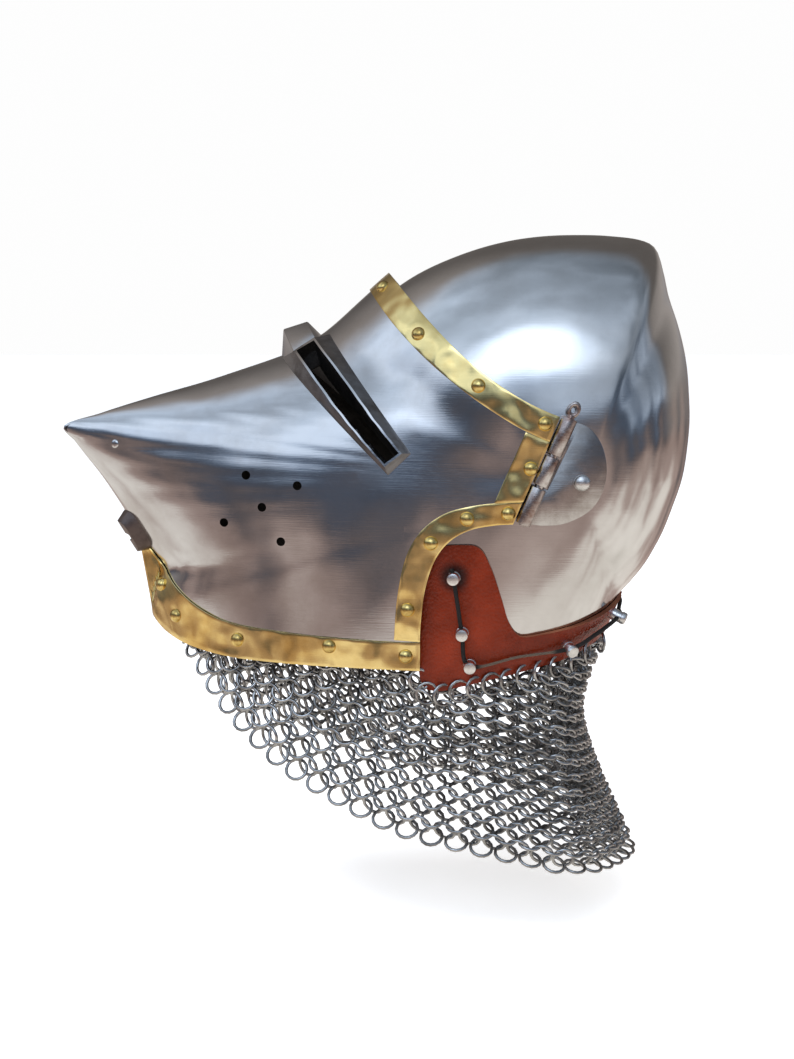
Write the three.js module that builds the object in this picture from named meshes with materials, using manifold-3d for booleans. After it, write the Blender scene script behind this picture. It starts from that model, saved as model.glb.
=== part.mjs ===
// Visored bascinet with a pointed snout visor, brass edging and a mail aventail.
// Millimetres. The origin is midway between the two visor pivots, -X is the front, +Z is up,
// and the wearer's left side is -Y.
import * as THREE from "three";
import { mergeVertices } from "three/addons/utils/BufferGeometryUtils.js";
import Module from "manifold-3d";

const wasm = await Module();
wasm.setup();

// Driving sizes
const SKULL_HALF_WIDTH = 93;
const SKULL_WALL = 1.8;
const VISOR_HALF_WIDTH = 98.5;
const VISOR_WALL = 1.6;
const GAP = 0.35;
const BRASS_THICK = 0.9;
const SIDE_STRIP_RISE = 1.3;
const LEATHER_FROM = 0.4;
const LEATHER_TO = 3.2;
const RIVET_RADIUS = 4.6;
const RIVET_HEIGHT = 3.4;
const RIVET_SHANK = 2;
const BREATH_HOLE_RADIUS = 2.9;
const KNUCKLE_RADIUS = 5;
const PIN_RADIUS = 2.5;
const HINGE_Y = 98.9;
const LEAF_THICK = 1.5;
const LEAF_Y = SKULL_HALF_WIDTH + 0.5;
const POST_RADIUS = 4.2;
const POST_HEIGHT = 13.5;
const LACE_RADIUS = 1.9;
const LACE_LIFT = 8.2;
const MAIL_HALF_WALL = 3;

// Each form is a lemon whose ends are the two pivots. A row gives the radius of the middle line
// at one angle about the pivots, how full the side is and how round the middle ridge is.
// columns: angle in degrees, radius, fullness, roundness
const SKULL_ROWS = [
  [0, 78, 3, 1.75],
  [13, 82.4, 3, 1.75],
  [25.8, 90.1, 3, 1.75],
  [35, 97.9, 3, 1.7],
  [46, 111, 3, 1.65],
  [54.5, 123.4, 3, 1.55],
  [60.7, 134.5, 3, 1.5],
  [65, 147, 3, 1.45],
  [68.8, 158.4, 3, 1.42],
  [72, 161, 3, 1.42],
  [80.6, 158.9, 3, 1.45],
  [90, 157.5, 3, 1.5],
  [102.7, 158.7, 3, 1.5],
  [117.6, 162.6, 3, 1.5],
  [131.7, 168.9, 3, 1.5],
  [150, 176, 3, 1.5],
  [165, 178, 3, 1.5],
  [180, 182, 3, 1.5],
  [200, 215, 3, 1.5],
  [217, 262, 3, 1.5],
  [235, 310, 3, 1.5],
  [245, 295, 3, 1.5],
  [255, 230, 3, 1.5],
  [265, 178, 3, 1.55],
  [275, 135, 3, 1.6],
  [283, 109, 3, 1.7],
  [289, 96, 3, 1.75],
  [296, 90, 3, 1.75],
  [306, 84.6, 3, 1.75],
  [320, 78.7, 3, 1.75],
  [340, 75, 3, 1.75],
];
const VISOR_ROWS = [
  [0, 150, 3, 1.5],
  [60, 170, 3, 1.5],
  [110, 178, 3, 1.5],
  [124, 178.5, 3, 1.5],
  [133, 179.7, 3, 1.5],
  [141.6, 182.4, 2.9, 1.5],
  [149.8, 189, 2.73, 1.43],
  [155.6, 200, 2.54, 1.4],
  [159.5, 214, 2.38, 1.36],
  [163.5, 234.6, 2.28, 1.29],
  [167.1, 258.8, 2.13, 1.27],
  [170.5, 290.6, 1.98, 1.24],
  [173.4, 323, 1.86, 1.22],
  [175.3, 347, 1.78, 1.2],
  [177, 339, 1.86, 1.22],
  [180.7, 322, 1.95, 1.38],
  [184.1, 310.7, 2.1, 1.46],
  [188.8, 298.8, 2.3, 1.52],
  [191.3, 293.5, 2.42, 1.55],
  [193.8, 288.5, 2.55, 1.56],
  [196.1, 295.4, 2.62, 1.48],
  [198.3, 302, 2.72, 1.42],
  [204.5, 310, 2.85, 1.42],
  [211.7, 323, 2.95, 1.46],
  [219, 332, 3, 1.5],
  [230, 348, 3, 1.5],
  [245, 350, 3, 1.5],
  [300, 200, 3, 1.5],
];

// Edges in side view, as x and z
const BROW_EDGE = [[-122.6, 131.4], [-110.6, 117.1], [-96.3, 100.6], [-77.2, 81.2],
  [-58.4, 65.8], [-39.6, 53.6], [-25, 46.4], [-14.6, 42.2]];
const BROW_BAND_FRONT = [[-134.8, 118.6], [-119.2, 98.1], [-96.5, 75.1], [-71, 54.8],
  [-45.9, 38.4], [-31, 30.6], [-21.5, 26.2]];
const CHEEK_EDGE = [[-44, -26.2], [-56, -27], [-71.3, -30.1], [-84, -37.4], [-93.5, -49.8],
  [-99.9, -69.7], [-102.8, -96.7], [-103, -122.5]];
const CHEEK_BAND_FRONT = [[-38, -11.8], [-65, -13.9], [-87.3, -19.8], [-103.2, -32.2],
  [-112.7, -49.8], [-117.9, -76.2], [-119.8, -103.6]];
const RIM_EDGE = [[-103, -122.5], [-148, -121.8], [-195, -121.3], [-230, -120.6], [-257, -117],
  [-275, -110.5], [-286, -101.5]];
const CHIN_BAND_TOP = [[-102.9, -103.9], [-119.8, -104], [-148.5, -102.9], [-195, -100.6],
  [-229, -97.6], [-250.4, -90], [-267.3, -78.4], [-277.8, -66]];
const FACE_EDGE = [[-152, 88], [-122, 56], [-106, 20], [-101, -20], [-101, -60], [-102, -100],
  [-99, -127]];
const NECK_EDGE = [[-99, -127], [-72, -123.5], [-50, -119], [-12, -110], [8, -103.5], [22, -99],
  [32, -95.6]];
const LEATHER_TOP = [[-106, -47], [-98, -43], [-77.6, -40.5], [-64.8, -42.5], [-57, -56.2],
  [-50.3, -76.1], [-45.6, -91], [-38.5, -99.6], [-25.4, -98.9], [-5, -94.9], [13, -90],
  [24, -87.5], [36, -85.5]];
const LEATHER_BOTTOM = [[40, -101.2], [25.2, -105.4], [7.8, -110.9], [-10.9, -117.2],
  [-50.9, -127.1], [-70.4, -132.4], [-95.1, -138.2], [-101, -133], [-104.5, -110]];
const LEAF_BACK = [[-6.9, 39], [4.2, 35], [12.4, 24], [15.6, 9], [13.4, -5.5], [4.9, -18.2],
  [-10.9, -26.3], [-26, -27.6]];

// Places in side view, as x and z
const BREATH_HOLES = [[-216.8, 1.2], [-182.6, -4.3], [-206.1, -19.2], [-231.9, -30.6],
  [-193.6, -41.1]];
const BRASS_RIVETS = {
  brow_rivet: [[-126.6, 122.1], [-103.5, 92.8], [-66, 61.4], [-24, 37.9]],
  side_rivet: [[-32.9, 9.6]],
  cheek_rivet: [[-47, -19.2], [-73.2, -22.9], [-96.1, -38.7], [-111, -82.1]],
  chin_rivet: [[-112.2, -112.9], [-161.7, -108], [-223.1, -108.6], [-267, -98], [-278.2, -79.5]],
};
const POSTS = [[-80.7, -61.2], [-75.3, -97.2], [-70.6, -118.1], [-9.3, -106.5], [23.5, -92.8]];

// Eye slot in side view: foot of the frame, outer edge of its lip and inner edge of its lip
// columns: x, z, lift above the shell
const SLOT_FOOT = [[-195, 75, 0], [-163, 91, 0], [-109, 18, 0], [-123.6, 4, 0]];
const SLOT_LIP_OUTER = [[-183.8, 73.2, 9], [-168.7, 83, 9], [-112.9, 17.4, 9], [-124.2, 8.6, 9]];
const SLOT_LIP_INNER = [[-181.8, 73.6, 9], [-169.2, 80.9, 9], [-115, 17.6, 9], [-124.3, 10.6, 9]];
const BRIDGE = { front: [-195.2, 94.4], rear: [-178.8, 99.6], halfWidth: 25, drop: 13.8 };
const MOUTH = { along: [0.56, 0, -0.83], centre: [-296.6, 0, -43], halfLength: 27, halfGap: 3.2,
  wall: 3.4, height: 9, sink: 6 };

const HINGE_BOTTOM = new THREE.Vector3(-37.8, -HINGE_Y, -26.1);
const HINGE_UP = new THREE.Vector3(29.6, 0, 68.1).normalize();
const HINGE_FRONT = new THREE.Vector3(-HINGE_UP.z, 0, HINGE_UP.x);
// Spans along the hinge line
const KNUCKLE_SPANS = { lower: [0, 26], middle: [26.6, 47.4], upper: [48, 74] };

// Mail curtain, from the front under the chin round the left side to the back
// columns: x and y of the top edge, its z, x, y and z at mid height, x, y and z of the hem
const MAIL_ROWS = [
  [-262, 0, -94, -263, 0, -108, -263, 0, -122],
  [-250, -22, -96, -250, -23, -117, -250, -24, -138],
  [-226, -40, -98, -227, -42, -131, -229, -44, -164],
  [-190, -56, -101, -192, -60, -148, -196, -65, -193],
  [-152, -68, -107, -155, -73, -163, -160, -79, -213],
  [-118, -76.5, -119, -123, -81, -176, -127, -87, -229],
  [-97, -85, -141.4, -96, -86, -190, -99, -93, -238],
  [-58, -87.5, -132.9, -57, -86, -188, -60, -97, -246],
  [-14, -79, -121.6, -16, -74, -178, -10, -92, -259],
  [10, -52, -114.4, 0, -50, -172, 22, -62, -266],
  [24.5, 0, -109.8, 6, 0, -170, 45, 0, -271],
];

const group = new THREE.Group();
const STEEL = { color: 0xb9bcc0, metalness: 1, roughness: 0.25 };
const BRASS = { color: 0xb89a45, metalness: 1, roughness: 0.35 };
const LEATHER = { color: 0x6b3a25, metalness: 0, roughness: 0.7 };
const BLACK_LACE = { color: 0x14110f, metalness: 0, roughness: 0.75 };

function wrap(rows) {
  const last = rows[rows.length - 1];
  const before = [last[0] - 360, ...last.slice(1)];
  const after = rows.slice(0, 2).map((row) => [row[0] + 360, ...row.slice(1)]);
  return [before, ...rows, ...after];
}

function makeForm(rows, halfWidth) {
  const wrapped = wrap(rows);
  const angles = new Float32Array(wrapped.map((row) => row[0]));
  const values = new Float32Array(wrapped.flatMap((row) => row.slice(1)));
  return { halfWidth, rows, curve: new THREE.CubicInterpolant(angles, values, 3) };
}

function profile(form, degrees) {
  const angle = ((degrees % 360) + 360) % 360;
  const [radius, fullness, roundness] = form.curve.evaluate(angle);
  return { radius, fullness, roundness };
}

// Half width of the form where a side-view point meets it
function sideY(form, x, z, grow = 0) {
  const { radius, fullness, roundness } = profile(form, THREE.MathUtils.radToDeg(Math.atan2(z, x)));
  const share = Math.min(1, Math.hypot(x, z) / (radius + grow));
  return (form.halfWidth + grow) * (1 - share ** fullness) ** (1 / roundness);
}

// Outward normal on the left side
function sideNormal(form, x, z) {
  const step = 0.4;
  const slopeX = (sideY(form, x + step, z) - sideY(form, x - step, z)) / (2 * step);
  const slopeZ = (sideY(form, x, z + step) - sideY(form, x, z - step)) / (2 * step);
  return new THREE.Vector3(-slopeX, -1, -slopeZ).normalize();
}

function leftPoint(form, x, z, lift) {
  const point = new THREE.Vector3(x, -sideY(form, x, z), z);
  return point.addScaledVector(sideNormal(form, x, z), lift);
}

function toManifold(geometry) {
  const plain = geometry.clone();
  plain.deleteAttribute("normal");
  plain.deleteAttribute("uv");
  const merged = mergeVertices(plain, 1e-4);
  const vertProperties = new Float32Array(merged.attributes.position.array);
  const triVerts = new Uint32Array(merged.index.array);
  return new wasm.Manifold(new wasm.Mesh({ numProp: 3, vertProperties, triVerts }));
}

function toGeometry(solid) {
  const mesh = solid.simplify(0.06).getMesh();
  const geometry = new THREE.BufferGeometry();
  geometry.setAttribute("position", new THREE.BufferAttribute(new Float32Array(mesh.vertProperties), 3));
  geometry.setIndex(new THREE.BufferAttribute(new Uint32Array(mesh.triVerts), 1));
  return geometry;
}

// Cutting can leave crumbs along an edge, so the largest body is kept
function mainBody(solid) {
  return solid.decompose().reduce((best, piece) => (piece.volume() > best.volume() ? piece : best));
}

// Closed solid from rings of points, with a fan to each end point
function ringSolid(rings, startPoint, endPoint) {
  const count = rings[0].length;
  const points = [...rings.flat(), startPoint, endPoint];
  const faces = [];
  const start = points.length - 2;
  const end = points.length - 1;
  const lastRing = (rings.length - 1) * count;
  for (let i = 0; i < count; i += 1) {
    const next = (i + 1) % count;
    faces.push(start, next, i);
    faces.push(end, lastRing + i, lastRing + next);
    for (let ring = 0; ring < rings.length - 1; ring += 1) {
      const low = ring * count;
      const high = low + count;
      faces.push(low + i, low + next, high + i);
      faces.push(low + next, high + next, high + i);
    }
  }
  return indexed(points, faces);
}

// Closed solid from loops that run round a tube wall and back to the first loop
function tubeWall(loops) {
  const count = loops[0].length;
  const faces = [];
  loops.forEach((loop, row) => {
    const low = row * count;
    const high = ((row + 1) % loops.length) * count;
    for (let i = 0; i < count; i += 1) {
      const next = (i + 1) % count;
      faces.push(low + i, low + next, high + i);
      faces.push(low + next, high + next, high + i);
    }
  });
  return indexed(loops.flat(), faces);
}

function indexed(points, faces) {
  const geometry = new THREE.BufferGeometry().setFromPoints(points);
  geometry.setIndex(faces);
  const position = geometry.attributes.position;
  let volume = 0;
  const a = new THREE.Vector3();
  const b = new THREE.Vector3();
  const c = new THREE.Vector3();
  for (let i = 0; i < faces.length; i += 3) {
    a.fromBufferAttribute(position, faces[i]);
    b.fromBufferAttribute(position, faces[i + 1]);
    c.fromBufferAttribute(position, faces[i + 2]);
    volume += a.dot(b.cross(c));
  }
  if (volume < 0) {
    geometry.setIndex(faces.slice().reverse());
  }
  return geometry;
}

const SHARES = [0.07, 0.19, 0.34, 0.5, 0.67, 0.84];

function formSolid(form, grow, angles) {
  const shares = [...SHARES.map((share) => -share).reverse(), 0, ...SHARES].reverse();
  const rings = shares.map((share) => angles.map((degrees) => {
    const { radius, fullness, roundness } = profile(form, degrees);
    const turn = Math.abs(share) * Math.PI / 2;
    const reach = (radius + grow) * Math.cos(turn) ** (2 / fullness);
    const y = Math.sign(share) * (form.halfWidth + grow) * Math.sin(turn) ** (2 / roundness);
    const around = THREE.MathUtils.degToRad(degrees);
    return new THREE.Vector3(reach * Math.cos(around), y, reach * Math.sin(around));
  }));
  const far = new THREE.Vector3(0, form.halfWidth + grow, 0);
  const near = new THREE.Vector3(0, -form.halfWidth - grow, 0);
  return toManifold(ringSolid(rings, far, near));
}

function prism(outline, fromY, toY) {
  const shape = new THREE.Shape(outline.map(([x, z]) => new THREE.Vector2(x, z)));
  const geometry = new THREE.ExtrudeGeometry(shape, { depth: toY - fromY, bevelEnabled: false });
  geometry.rotateX(Math.PI / 2);
  geometry.translate(0, toY, 0);
  return toManifold(geometry);
}

function smooth(points, pieces) {
  const curve = new THREE.SplineCurve(points.map(([x, z]) => new THREE.Vector2(x, z)));
  return curve.getPoints(pieces).map((point) => [point.x, point.y]);
}

function shell(form, from, to, angles) {
  return formSolid(form, to, angles).subtract(formSolid(form, from, angles));
}

function mirrored(geometry) {
  const copy = geometry.clone();
  copy.scale(1, -1, 1);
  const index = Array.from(copy.index.array);
  copy.setIndex(index.reverse());
  return copy;
}

function addMesh(name, geometry, finish) {
  const plain = geometry.clone();
  plain.deleteAttribute("normal");
  plain.deleteAttribute("uv");
  const merged = mergeVertices(plain, 2e-3);
  const kept = [];
  const index = merged.index.array;
  for (let i = 0; i < index.length; i += 3) {
    const corners = [index[i], index[i + 1], index[i + 2]];
    if (new Set(corners).size === 3) {
      kept.push(...corners);
    }
  }
  merged.setIndex(kept);
  merged.computeVertexNormals();
  const mesh = new THREE.Mesh(merged, new THREE.MeshStandardMaterial(finish));
  mesh.name = name;
  group.add(mesh);
}

function addPair(name, geometry, finish) {
  addMesh(`${name}_left`, geometry, finish);
  addMesh(`${name}_right`, mirrored(geometry), finish);
}

function rod(from, to, radius, sides) {
  const along = to.clone().sub(from);
  const geometry = new THREE.CylinderGeometry(radius, radius, along.length(), sides);
  geometry.translate(0, along.length() / 2, 0);
  geometry.applyQuaternion(new THREE.Quaternion().setFromUnitVectors(new THREE.Vector3(0, 1, 0),
    along.clone().normalize()));
  geometry.translate(from.x, from.y, from.z);
  return toManifold(geometry);
}

function dome(base, normal, radius, height, sides) {
  const outline = [[0, 0], [radius, 0], [radius * 0.93, height * 0.4], [radius * 0.55, height * 0.85],
    [0, height]];
  const geometry = new THREE.LatheGeometry(outline.map(([r, h]) => new THREE.Vector2(r, h)), sides);
  geometry.applyQuaternion(new THREE.Quaternion().setFromUnitVectors(new THREE.Vector3(0, 1, 0), normal));
  geometry.translate(base.x, base.y, base.z);
  return toManifold(geometry);
}

const skullForm = makeForm(SKULL_ROWS, SKULL_HALF_WIDTH);
const visorForm = makeForm(VISOR_ROWS, VISOR_HALF_WIDTH);
const skullAngles = SKULL_ROWS.map((row) => row[0]);
const visorAngles = VISOR_ROWS.map((row) => row[0]);
const SIDE = 130;

// Skull: one raised dome, open at the face and the neck
const skullOutline = [[-185, 122], ...smooth(FACE_EDGE, 12), ...smooth(NECK_EDGE, 8).slice(1),
  [150, -95], [150, 220], [-185, 220]];
const skull = shell(skullForm, -SKULL_WALL, 0, skullAngles).intersect(prism(skullOutline, -SIDE, SIDE));
addMesh("skull", toGeometry(skull), STEEL);

// Visor: a shell cut to its edges, with welded frames round the eye slots and the mouth slot
const hingeEdge = (along, front) => {
  const point = HINGE_BOTTOM.clone().addScaledVector(HINGE_UP, along).addScaledVector(HINGE_FRONT, front);
  return [point.x, point.z];
};
const browLine = smooth(BROW_EDGE, 14);
const cheekLine = smooth(CHEEK_EDGE, 14);
const rimLine = smooth(RIM_EDGE, 14);
const outside = [[-312, -82], [-320, -60], [-400, -20], [-400, 80], [-230, 160]];
const visorOutline = [[-142, 154], ...browLine, ...cheekLine, ...rimLine.slice(1), ...outside];

function slotLoop(corners) {
  const loop = [];
  corners.forEach((corner, i) => {
    const next = corners[(i + 1) % corners.length];
    const steps = i % 2 === 1 ? 6 : 1;
    for (let step = 0; step < steps; step += 1) {
      const [x, z, lift] = corner.map((value, axis) => value + (next[axis] - value) * step / steps);
      loop.push(leftPoint(visorForm, x, z, lift));
    }
  });
  return loop;
}
const sunk = (corners, lift) => corners.map(([x, z]) => [x, z, lift]);
const slotFrame = toManifold(tubeWall([slotLoop(sunk(SLOT_FOOT, -1)), slotLoop(SLOT_LIP_OUTER),
  slotLoop(SLOT_LIP_INNER), slotLoop(sunk(SLOT_LIP_INNER, -1))]));
const slotLow = slotLoop(sunk(SLOT_LIP_INNER, -14));
const slotHigh = slotLoop(sunk(SLOT_LIP_INNER, 16));
const middleOf = (loop) => loop.reduce((sum, p) => sum.add(p), new THREE.Vector3()).divideScalar(loop.length);
const slotCut = toManifold(ringSolid([slotLow, slotHigh], middleOf(slotLow), middleOf(slotHigh)));
const flip = (solid) => toManifold(mirrored(toGeometry(solid)));

// Roof plate that joins the two slot frames over the ridge
const bridgePoints = [-BRIDGE.halfWidth, 0, BRIDGE.halfWidth].map((y) => {
  const fall = BRIDGE.drop * Math.abs(y) / BRIDGE.halfWidth;
  return { y, top: [[BRIDGE.front[0], BRIDGE.front[1] - fall], [BRIDGE.rear[0], BRIDGE.rear[1] - fall]] };
});
const bridgeRings = bridgePoints.map(({ y, top }) => [
  new THREE.Vector3(top[0][0], y, top[0][1]),
  new THREE.Vector3(top[1][0], y, top[1][1]),
  new THREE.Vector3(top[1][0] + 7, y, top[1][1] - 14),
  new THREE.Vector3(top[0][0] + 3, y, top[0][1] - 19),
]);
const bridge = toManifold(ringSolid(bridgeRings, middleOf(bridgeRings[0]), middleOf(bridgeRings[2])));

// Mouth slot across the front of the snout's underside
const mouthAlong = new THREE.Vector3(...MOUTH.along).normalize();
const mouthOut = new THREE.Vector3(mouthAlong.z, 0, -mouthAlong.x);
function mouthBox(halfLength, halfGap, low, high) {
  const box = new THREE.BoxGeometry(2 * halfGap, 2 * halfLength, high - low);
  box.translate(0, 0, (high + low) / 2);
  const basis = new THREE.Matrix4().makeBasis(mouthAlong, new THREE.Vector3(0, 1, 0),
    mouthAlong.clone().cross(new THREE.Vector3(0, 1, 0)));
  if (basis.elements[8] * mouthOut.x < 0) {
    box.rotateY(Math.PI);
  }
  box.applyMatrix4(basis);
  box.translate(...MOUTH.centre);
  return toManifold(box);
}
const mouthFrame = mouthBox(MOUTH.halfLength, MOUTH.halfGap + MOUTH.wall, -MOUTH.sink, MOUTH.height)
  .intersect(formSolid(visorForm, 9, visorAngles));
const mouthCut = mouthBox(MOUTH.halfLength - MOUTH.wall, MOUTH.halfGap, -40, 30);

const visorInside = formSolid(visorForm, -VISOR_WALL, visorAngles);
let visor = formSolid(visorForm, 0, visorAngles).add(slotFrame).add(flip(slotFrame)).add(bridge)
  .add(mouthFrame).subtract(visorInside).subtract(slotCut).subtract(flip(slotCut)).subtract(mouthCut);
BREATH_HOLES.forEach(([x, z]) => {
  const from = new THREE.Vector3(x, -SIDE, z);
  const to = new THREE.Vector3(x, SIDE, z);
  visor = visor.subtract(rod(from, to, BREATH_HOLE_RADIUS, 8));
});
visor = visor.intersect(prism(visorOutline, -SIDE, SIDE));
addMesh("visor", toGeometry(mainBody(visor)), STEEL);

// Brass edging, draped over the visor
const brassShell = shell(visorForm, GAP, GAP + BRASS_THICK, visorAngles);
const browOutline = [[-141, 152], ...browLine, ...smooth(BROW_BAND_FRONT, 12).reverse(), [-152, 141]];
const browBand = brassShell.intersect(prism(browOutline, -SIDE, SIDE));
addMesh("brow_band", toGeometry(browBand), BRASS);
const chinOutline = [...rimLine, [-300, -92], [-300, -58], ...smooth(CHIN_BAND_TOP, 14).reverse()];
const chinBand = brassShell.intersect(prism(chinOutline, -SIDE, SIDE));
addMesh("chin_band", toGeometry(chinBand), BRASS);
const cheekEdgeAbove = cheekLine.filter(([, z]) => z > -103.4);
const cheekOutline = [...cheekEdgeAbove, [-102.9, -103.4], ...smooth(CHEEK_BAND_FRONT, 12).reverse()
  .filter(([, z]) => z > -103.4), [-37.6, -12.2]];
const cheekStrip = brassShell.intersect(prism(cheekOutline, -SIDE, 0));
addPair("cheek_strip", toGeometry(cheekStrip), BRASS);
const sideOutline = [hingeEdge(56.2, 5.6), hingeEdge(16.3, 5.6), hingeEdge(16.3, 22), hingeEdge(50.2, 22)];
const sideShell = shell(visorForm, GAP + SIDE_STRIP_RISE, GAP + SIDE_STRIP_RISE + BRASS_THICK, visorAngles);
const sideStrip = sideShell.intersect(prism(sideOutline, -SIDE, 0));
addPair("side_strip", toGeometry(sideStrip), BRASS);

// Domed brass rivets, each seated on its strip
const onStrip = formSolid(visorForm, GAP + BRASS_THICK + GAP, visorAngles);
const onSideStrip = formSolid(visorForm, GAP + SIDE_STRIP_RISE + BRASS_THICK + GAP, visorAngles);
Object.entries(BRASS_RIVETS).forEach(([name, places]) => {
  const seat = name === "side_rivet" ? onSideStrip : onStrip;
  const rise = name === "side_rivet" ? SIDE_STRIP_RISE : 0;
  places.forEach(([x, z], i) => {
    const normal = sideNormal(visorForm, x, z);
    const base = leftPoint(visorForm, x, z, GAP + BRASS_THICK + GAP + rise);
    const shank = rod(base.clone().addScaledVector(normal, -4), base.clone().addScaledVector(normal, 0.2),
      RIVET_SHANK, 5);
    const head = dome(base, normal, RIVET_RADIUS, RIVET_HEIGHT, 8);
    addPair(`${name}_${i + 1}`, toGeometry(mainBody(head.add(shank).subtract(seat))), BRASS);
  });
});

// Visor hinges: a rear leaf on the pivot, a front leaf under the brass, and a pull-pin with a looped top
const onHinge = (along) => HINGE_BOTTOM.clone().addScaledVector(HINGE_UP, along);
const knuckle = ([from, to]) => rod(onHinge(from), onHinge(to), KNUCKLE_RADIUS, 10);
const pinBore = rod(onHinge(-20), onHinge(100), PIN_RADIUS + 0.6, 8);
const leafOutline = [...smooth(LEAF_BACK, 11), hingeEdge(0.3, 0), hingeEdge(26, 0), hingeEdge(26, -6),
  hingeEdge(48, -6), hingeEdge(48, 0), hingeEdge(73.7, 0)];
const pivotHole = rod(new THREE.Vector3(0, -120, 0), new THREE.Vector3(0, -80, 0), 3.6, 10);
const rearLeaf = prism(leafOutline, -LEAF_Y - LEAF_THICK, -LEAF_Y).add(knuckle(KNUCKLE_SPANS.lower))
  .add(knuckle(KNUCKLE_SPANS.upper)).subtract(pinBore).subtract(pivotHole);
addPair("rear_leaf", toGeometry(rearLeaf), STEEL);
const frontOutline = [hingeEdge(46.8, 1), hingeEdge(27.2, 1), hingeEdge(27.2, 19), hingeEdge(46.8, 19)];
const frontLeaf = shell(visorForm, GAP, GAP + 0.9, visorAngles).intersect(prism(frontOutline, -SIDE, 0))
  .add(knuckle(KNUCKLE_SPANS.middle)).subtract(pinBore);
addPair("front_leaf", toGeometry(frontLeaf), STEEL);
const loop = new THREE.TorusGeometry(2.9, 1.25, 5, 10);
loop.scale(1, 1.35, 1);
loop.rotateX(Math.PI / 2);
loop.applyQuaternion(new THREE.Quaternion().setFromUnitVectors(new THREE.Vector3(0, 0, 1), HINGE_UP));
const loopMiddle = onHinge(74 + 0.4 + 5.1);
loop.translate(loopMiddle.x, loopMiddle.y, loopMiddle.z);
const hingePin = rod(onHinge(-1), onHinge(76), PIN_RADIUS, 8).add(toManifold(loop));
addPair("hinge_pin", toGeometry(hingePin), STEEL);
const pivotShank = rod(new THREE.Vector3(0, -SKULL_HALF_WIDTH - 0.2, 0),
  new THREE.Vector3(0, -LEAF_Y - LEAF_THICK - 1, 0), 3, 10);
const pivotHead = dome(new THREE.Vector3(0, -LEAF_Y - LEAF_THICK - 0.35, 0), new THREE.Vector3(0, -1, 0),
  5.2, 3, 10);
addPair("pivot_rivet", toGeometry(pivotShank.add(pivotHead)), STEEL);

// Drilled posts that hold the aventail, with a lace threaded through them
const postPlaces = POSTS.map(([x, z]) => ({
  foot: leftPoint(skullForm, x, z, 0.3),
  top: leftPoint(skullForm, x, z, POST_HEIGHT),
  eye: leftPoint(skullForm, x, z, LACE_LIFT),
}));
const between = (i, lift) => {
  const middle = postPlaces[i].foot.clone().add(postPlaces[i + 1].foot).multiplyScalar(0.5);
  return leftPoint(skullForm, middle.x, middle.z, lift);
};
const lacePoints = [leftPoint(skullForm, -82, -55, LACE_LIFT - 0.4), postPlaces[0].eye, between(0, 7.4),
  postPlaces[1].eye, postPlaces[2].eye, between(2, 7.4), postPlaces[3].eye, between(3, 7.8),
  postPlaces[4].eye];
const backPoint = new THREE.Vector3(38.5, 0, -92.5);
const laceRoute = [...lacePoints, backPoint,
  ...lacePoints.map((point) => new THREE.Vector3(point.x, -point.y, point.z)).reverse()];
const laceCurve = new THREE.CatmullRomCurve3(laceRoute, false, "centripetal");
function laceTube(radius, steps) {
  const ring = new THREE.Shape();
  ring.absarc(0, 0, radius, 0, 2 * Math.PI);
  const options = { steps, curveSegments: 3, extrudePath: laceCurve, bevelEnabled: false };
  return toManifold(new THREE.ExtrudeGeometry(ring, options));
}
const laceRoom = laceTube(LACE_RADIUS + 0.6, 64);
addMesh("lace", toGeometry(laceTube(LACE_RADIUS, 64)), BLACK_LACE);
postPlaces.forEach(({ foot, top }, i) => {
  const post = rod(foot, top, POST_RADIUS, 9).subtract(laceRoom);
  addPair(`post_${i + 1}`, toGeometry(post), STEEL);
});

// Leather band that carries the mail, with a hole for each post
const leatherOutline = [...smooth(LEATHER_TOP, 18), ...smooth(LEATHER_BOTTOM, 11)];
let leather = shell(skullForm, LEATHER_FROM, LEATHER_TO, skullAngles)
  .intersect(prism(leatherOutline, -SIDE, SIDE));
postPlaces.forEach(({ foot, top }) => {
  const hole = rod(foot.clone().lerp(top, -0.6), foot.clone().lerp(top, 1.4), POST_RADIUS + 0.7, 8);
  leather = leather.subtract(hole).subtract(flip(hole));
});
addMesh("leather_band", toGeometry(leather), LEATHER);

// Mail curtain under the leather band, from chin to nape
const mailColumns = MAIL_ROWS.map((row) => [0, 3, 6].map((at) => new THREE.Vector3(...row.slice(at, at + 3))));
const mailRight = mailColumns.slice(1, -1).reverse()
  .map((column) => column.map((point) => new THREE.Vector3(point.x, -point.y, point.z)));
const mailAround = [...mailColumns, ...mailRight];
const MAIL_STEPS = 40;
function mailLoop(down) {
  const points = mailAround.map((column) => new THREE.SplineCurve(
    column.map((point) => new THREE.Vector2(point.x, point.z))).getPoint(down));
  const across = mailAround.map((column) => new THREE.SplineCurve(
    column.map((point) => new THREE.Vector2(point.y, point.z))).getPoint(down).x);
  const curve = new THREE.CatmullRomCurve3(points.map((point, i) => new THREE.Vector3(point.x, across[i],
    point.y)), true, "centripetal");
  return Array.from({ length: MAIL_STEPS }, (_, i) => curve.getPoint(i / MAIL_STEPS));
}
function grown(loop, amount) {
  return loop.map((point, i) => {
    const before = loop[(i + loop.length - 1) % loop.length];
    const after = loop[(i + 1) % loop.length];
    const along = after.clone().sub(before).setZ(0).normalize();
    return point.clone().add(new THREE.Vector3(along.y, -along.x, 0).multiplyScalar(amount));
  });
}
const MAIL_DOWN = [0, 0.33, 0.66, 1];
const mailLoops = MAIL_DOWN.map(mailLoop);
const mailWall = tubeWall([...mailLoops.map((loop) => grown(loop, -MAIL_HALF_WALL)),
  ...mailLoops.slice().reverse().map((loop) => grown(loop, MAIL_HALF_WALL))]);
addMesh("mail", mailWall, STEEL);

export default group;
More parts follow.
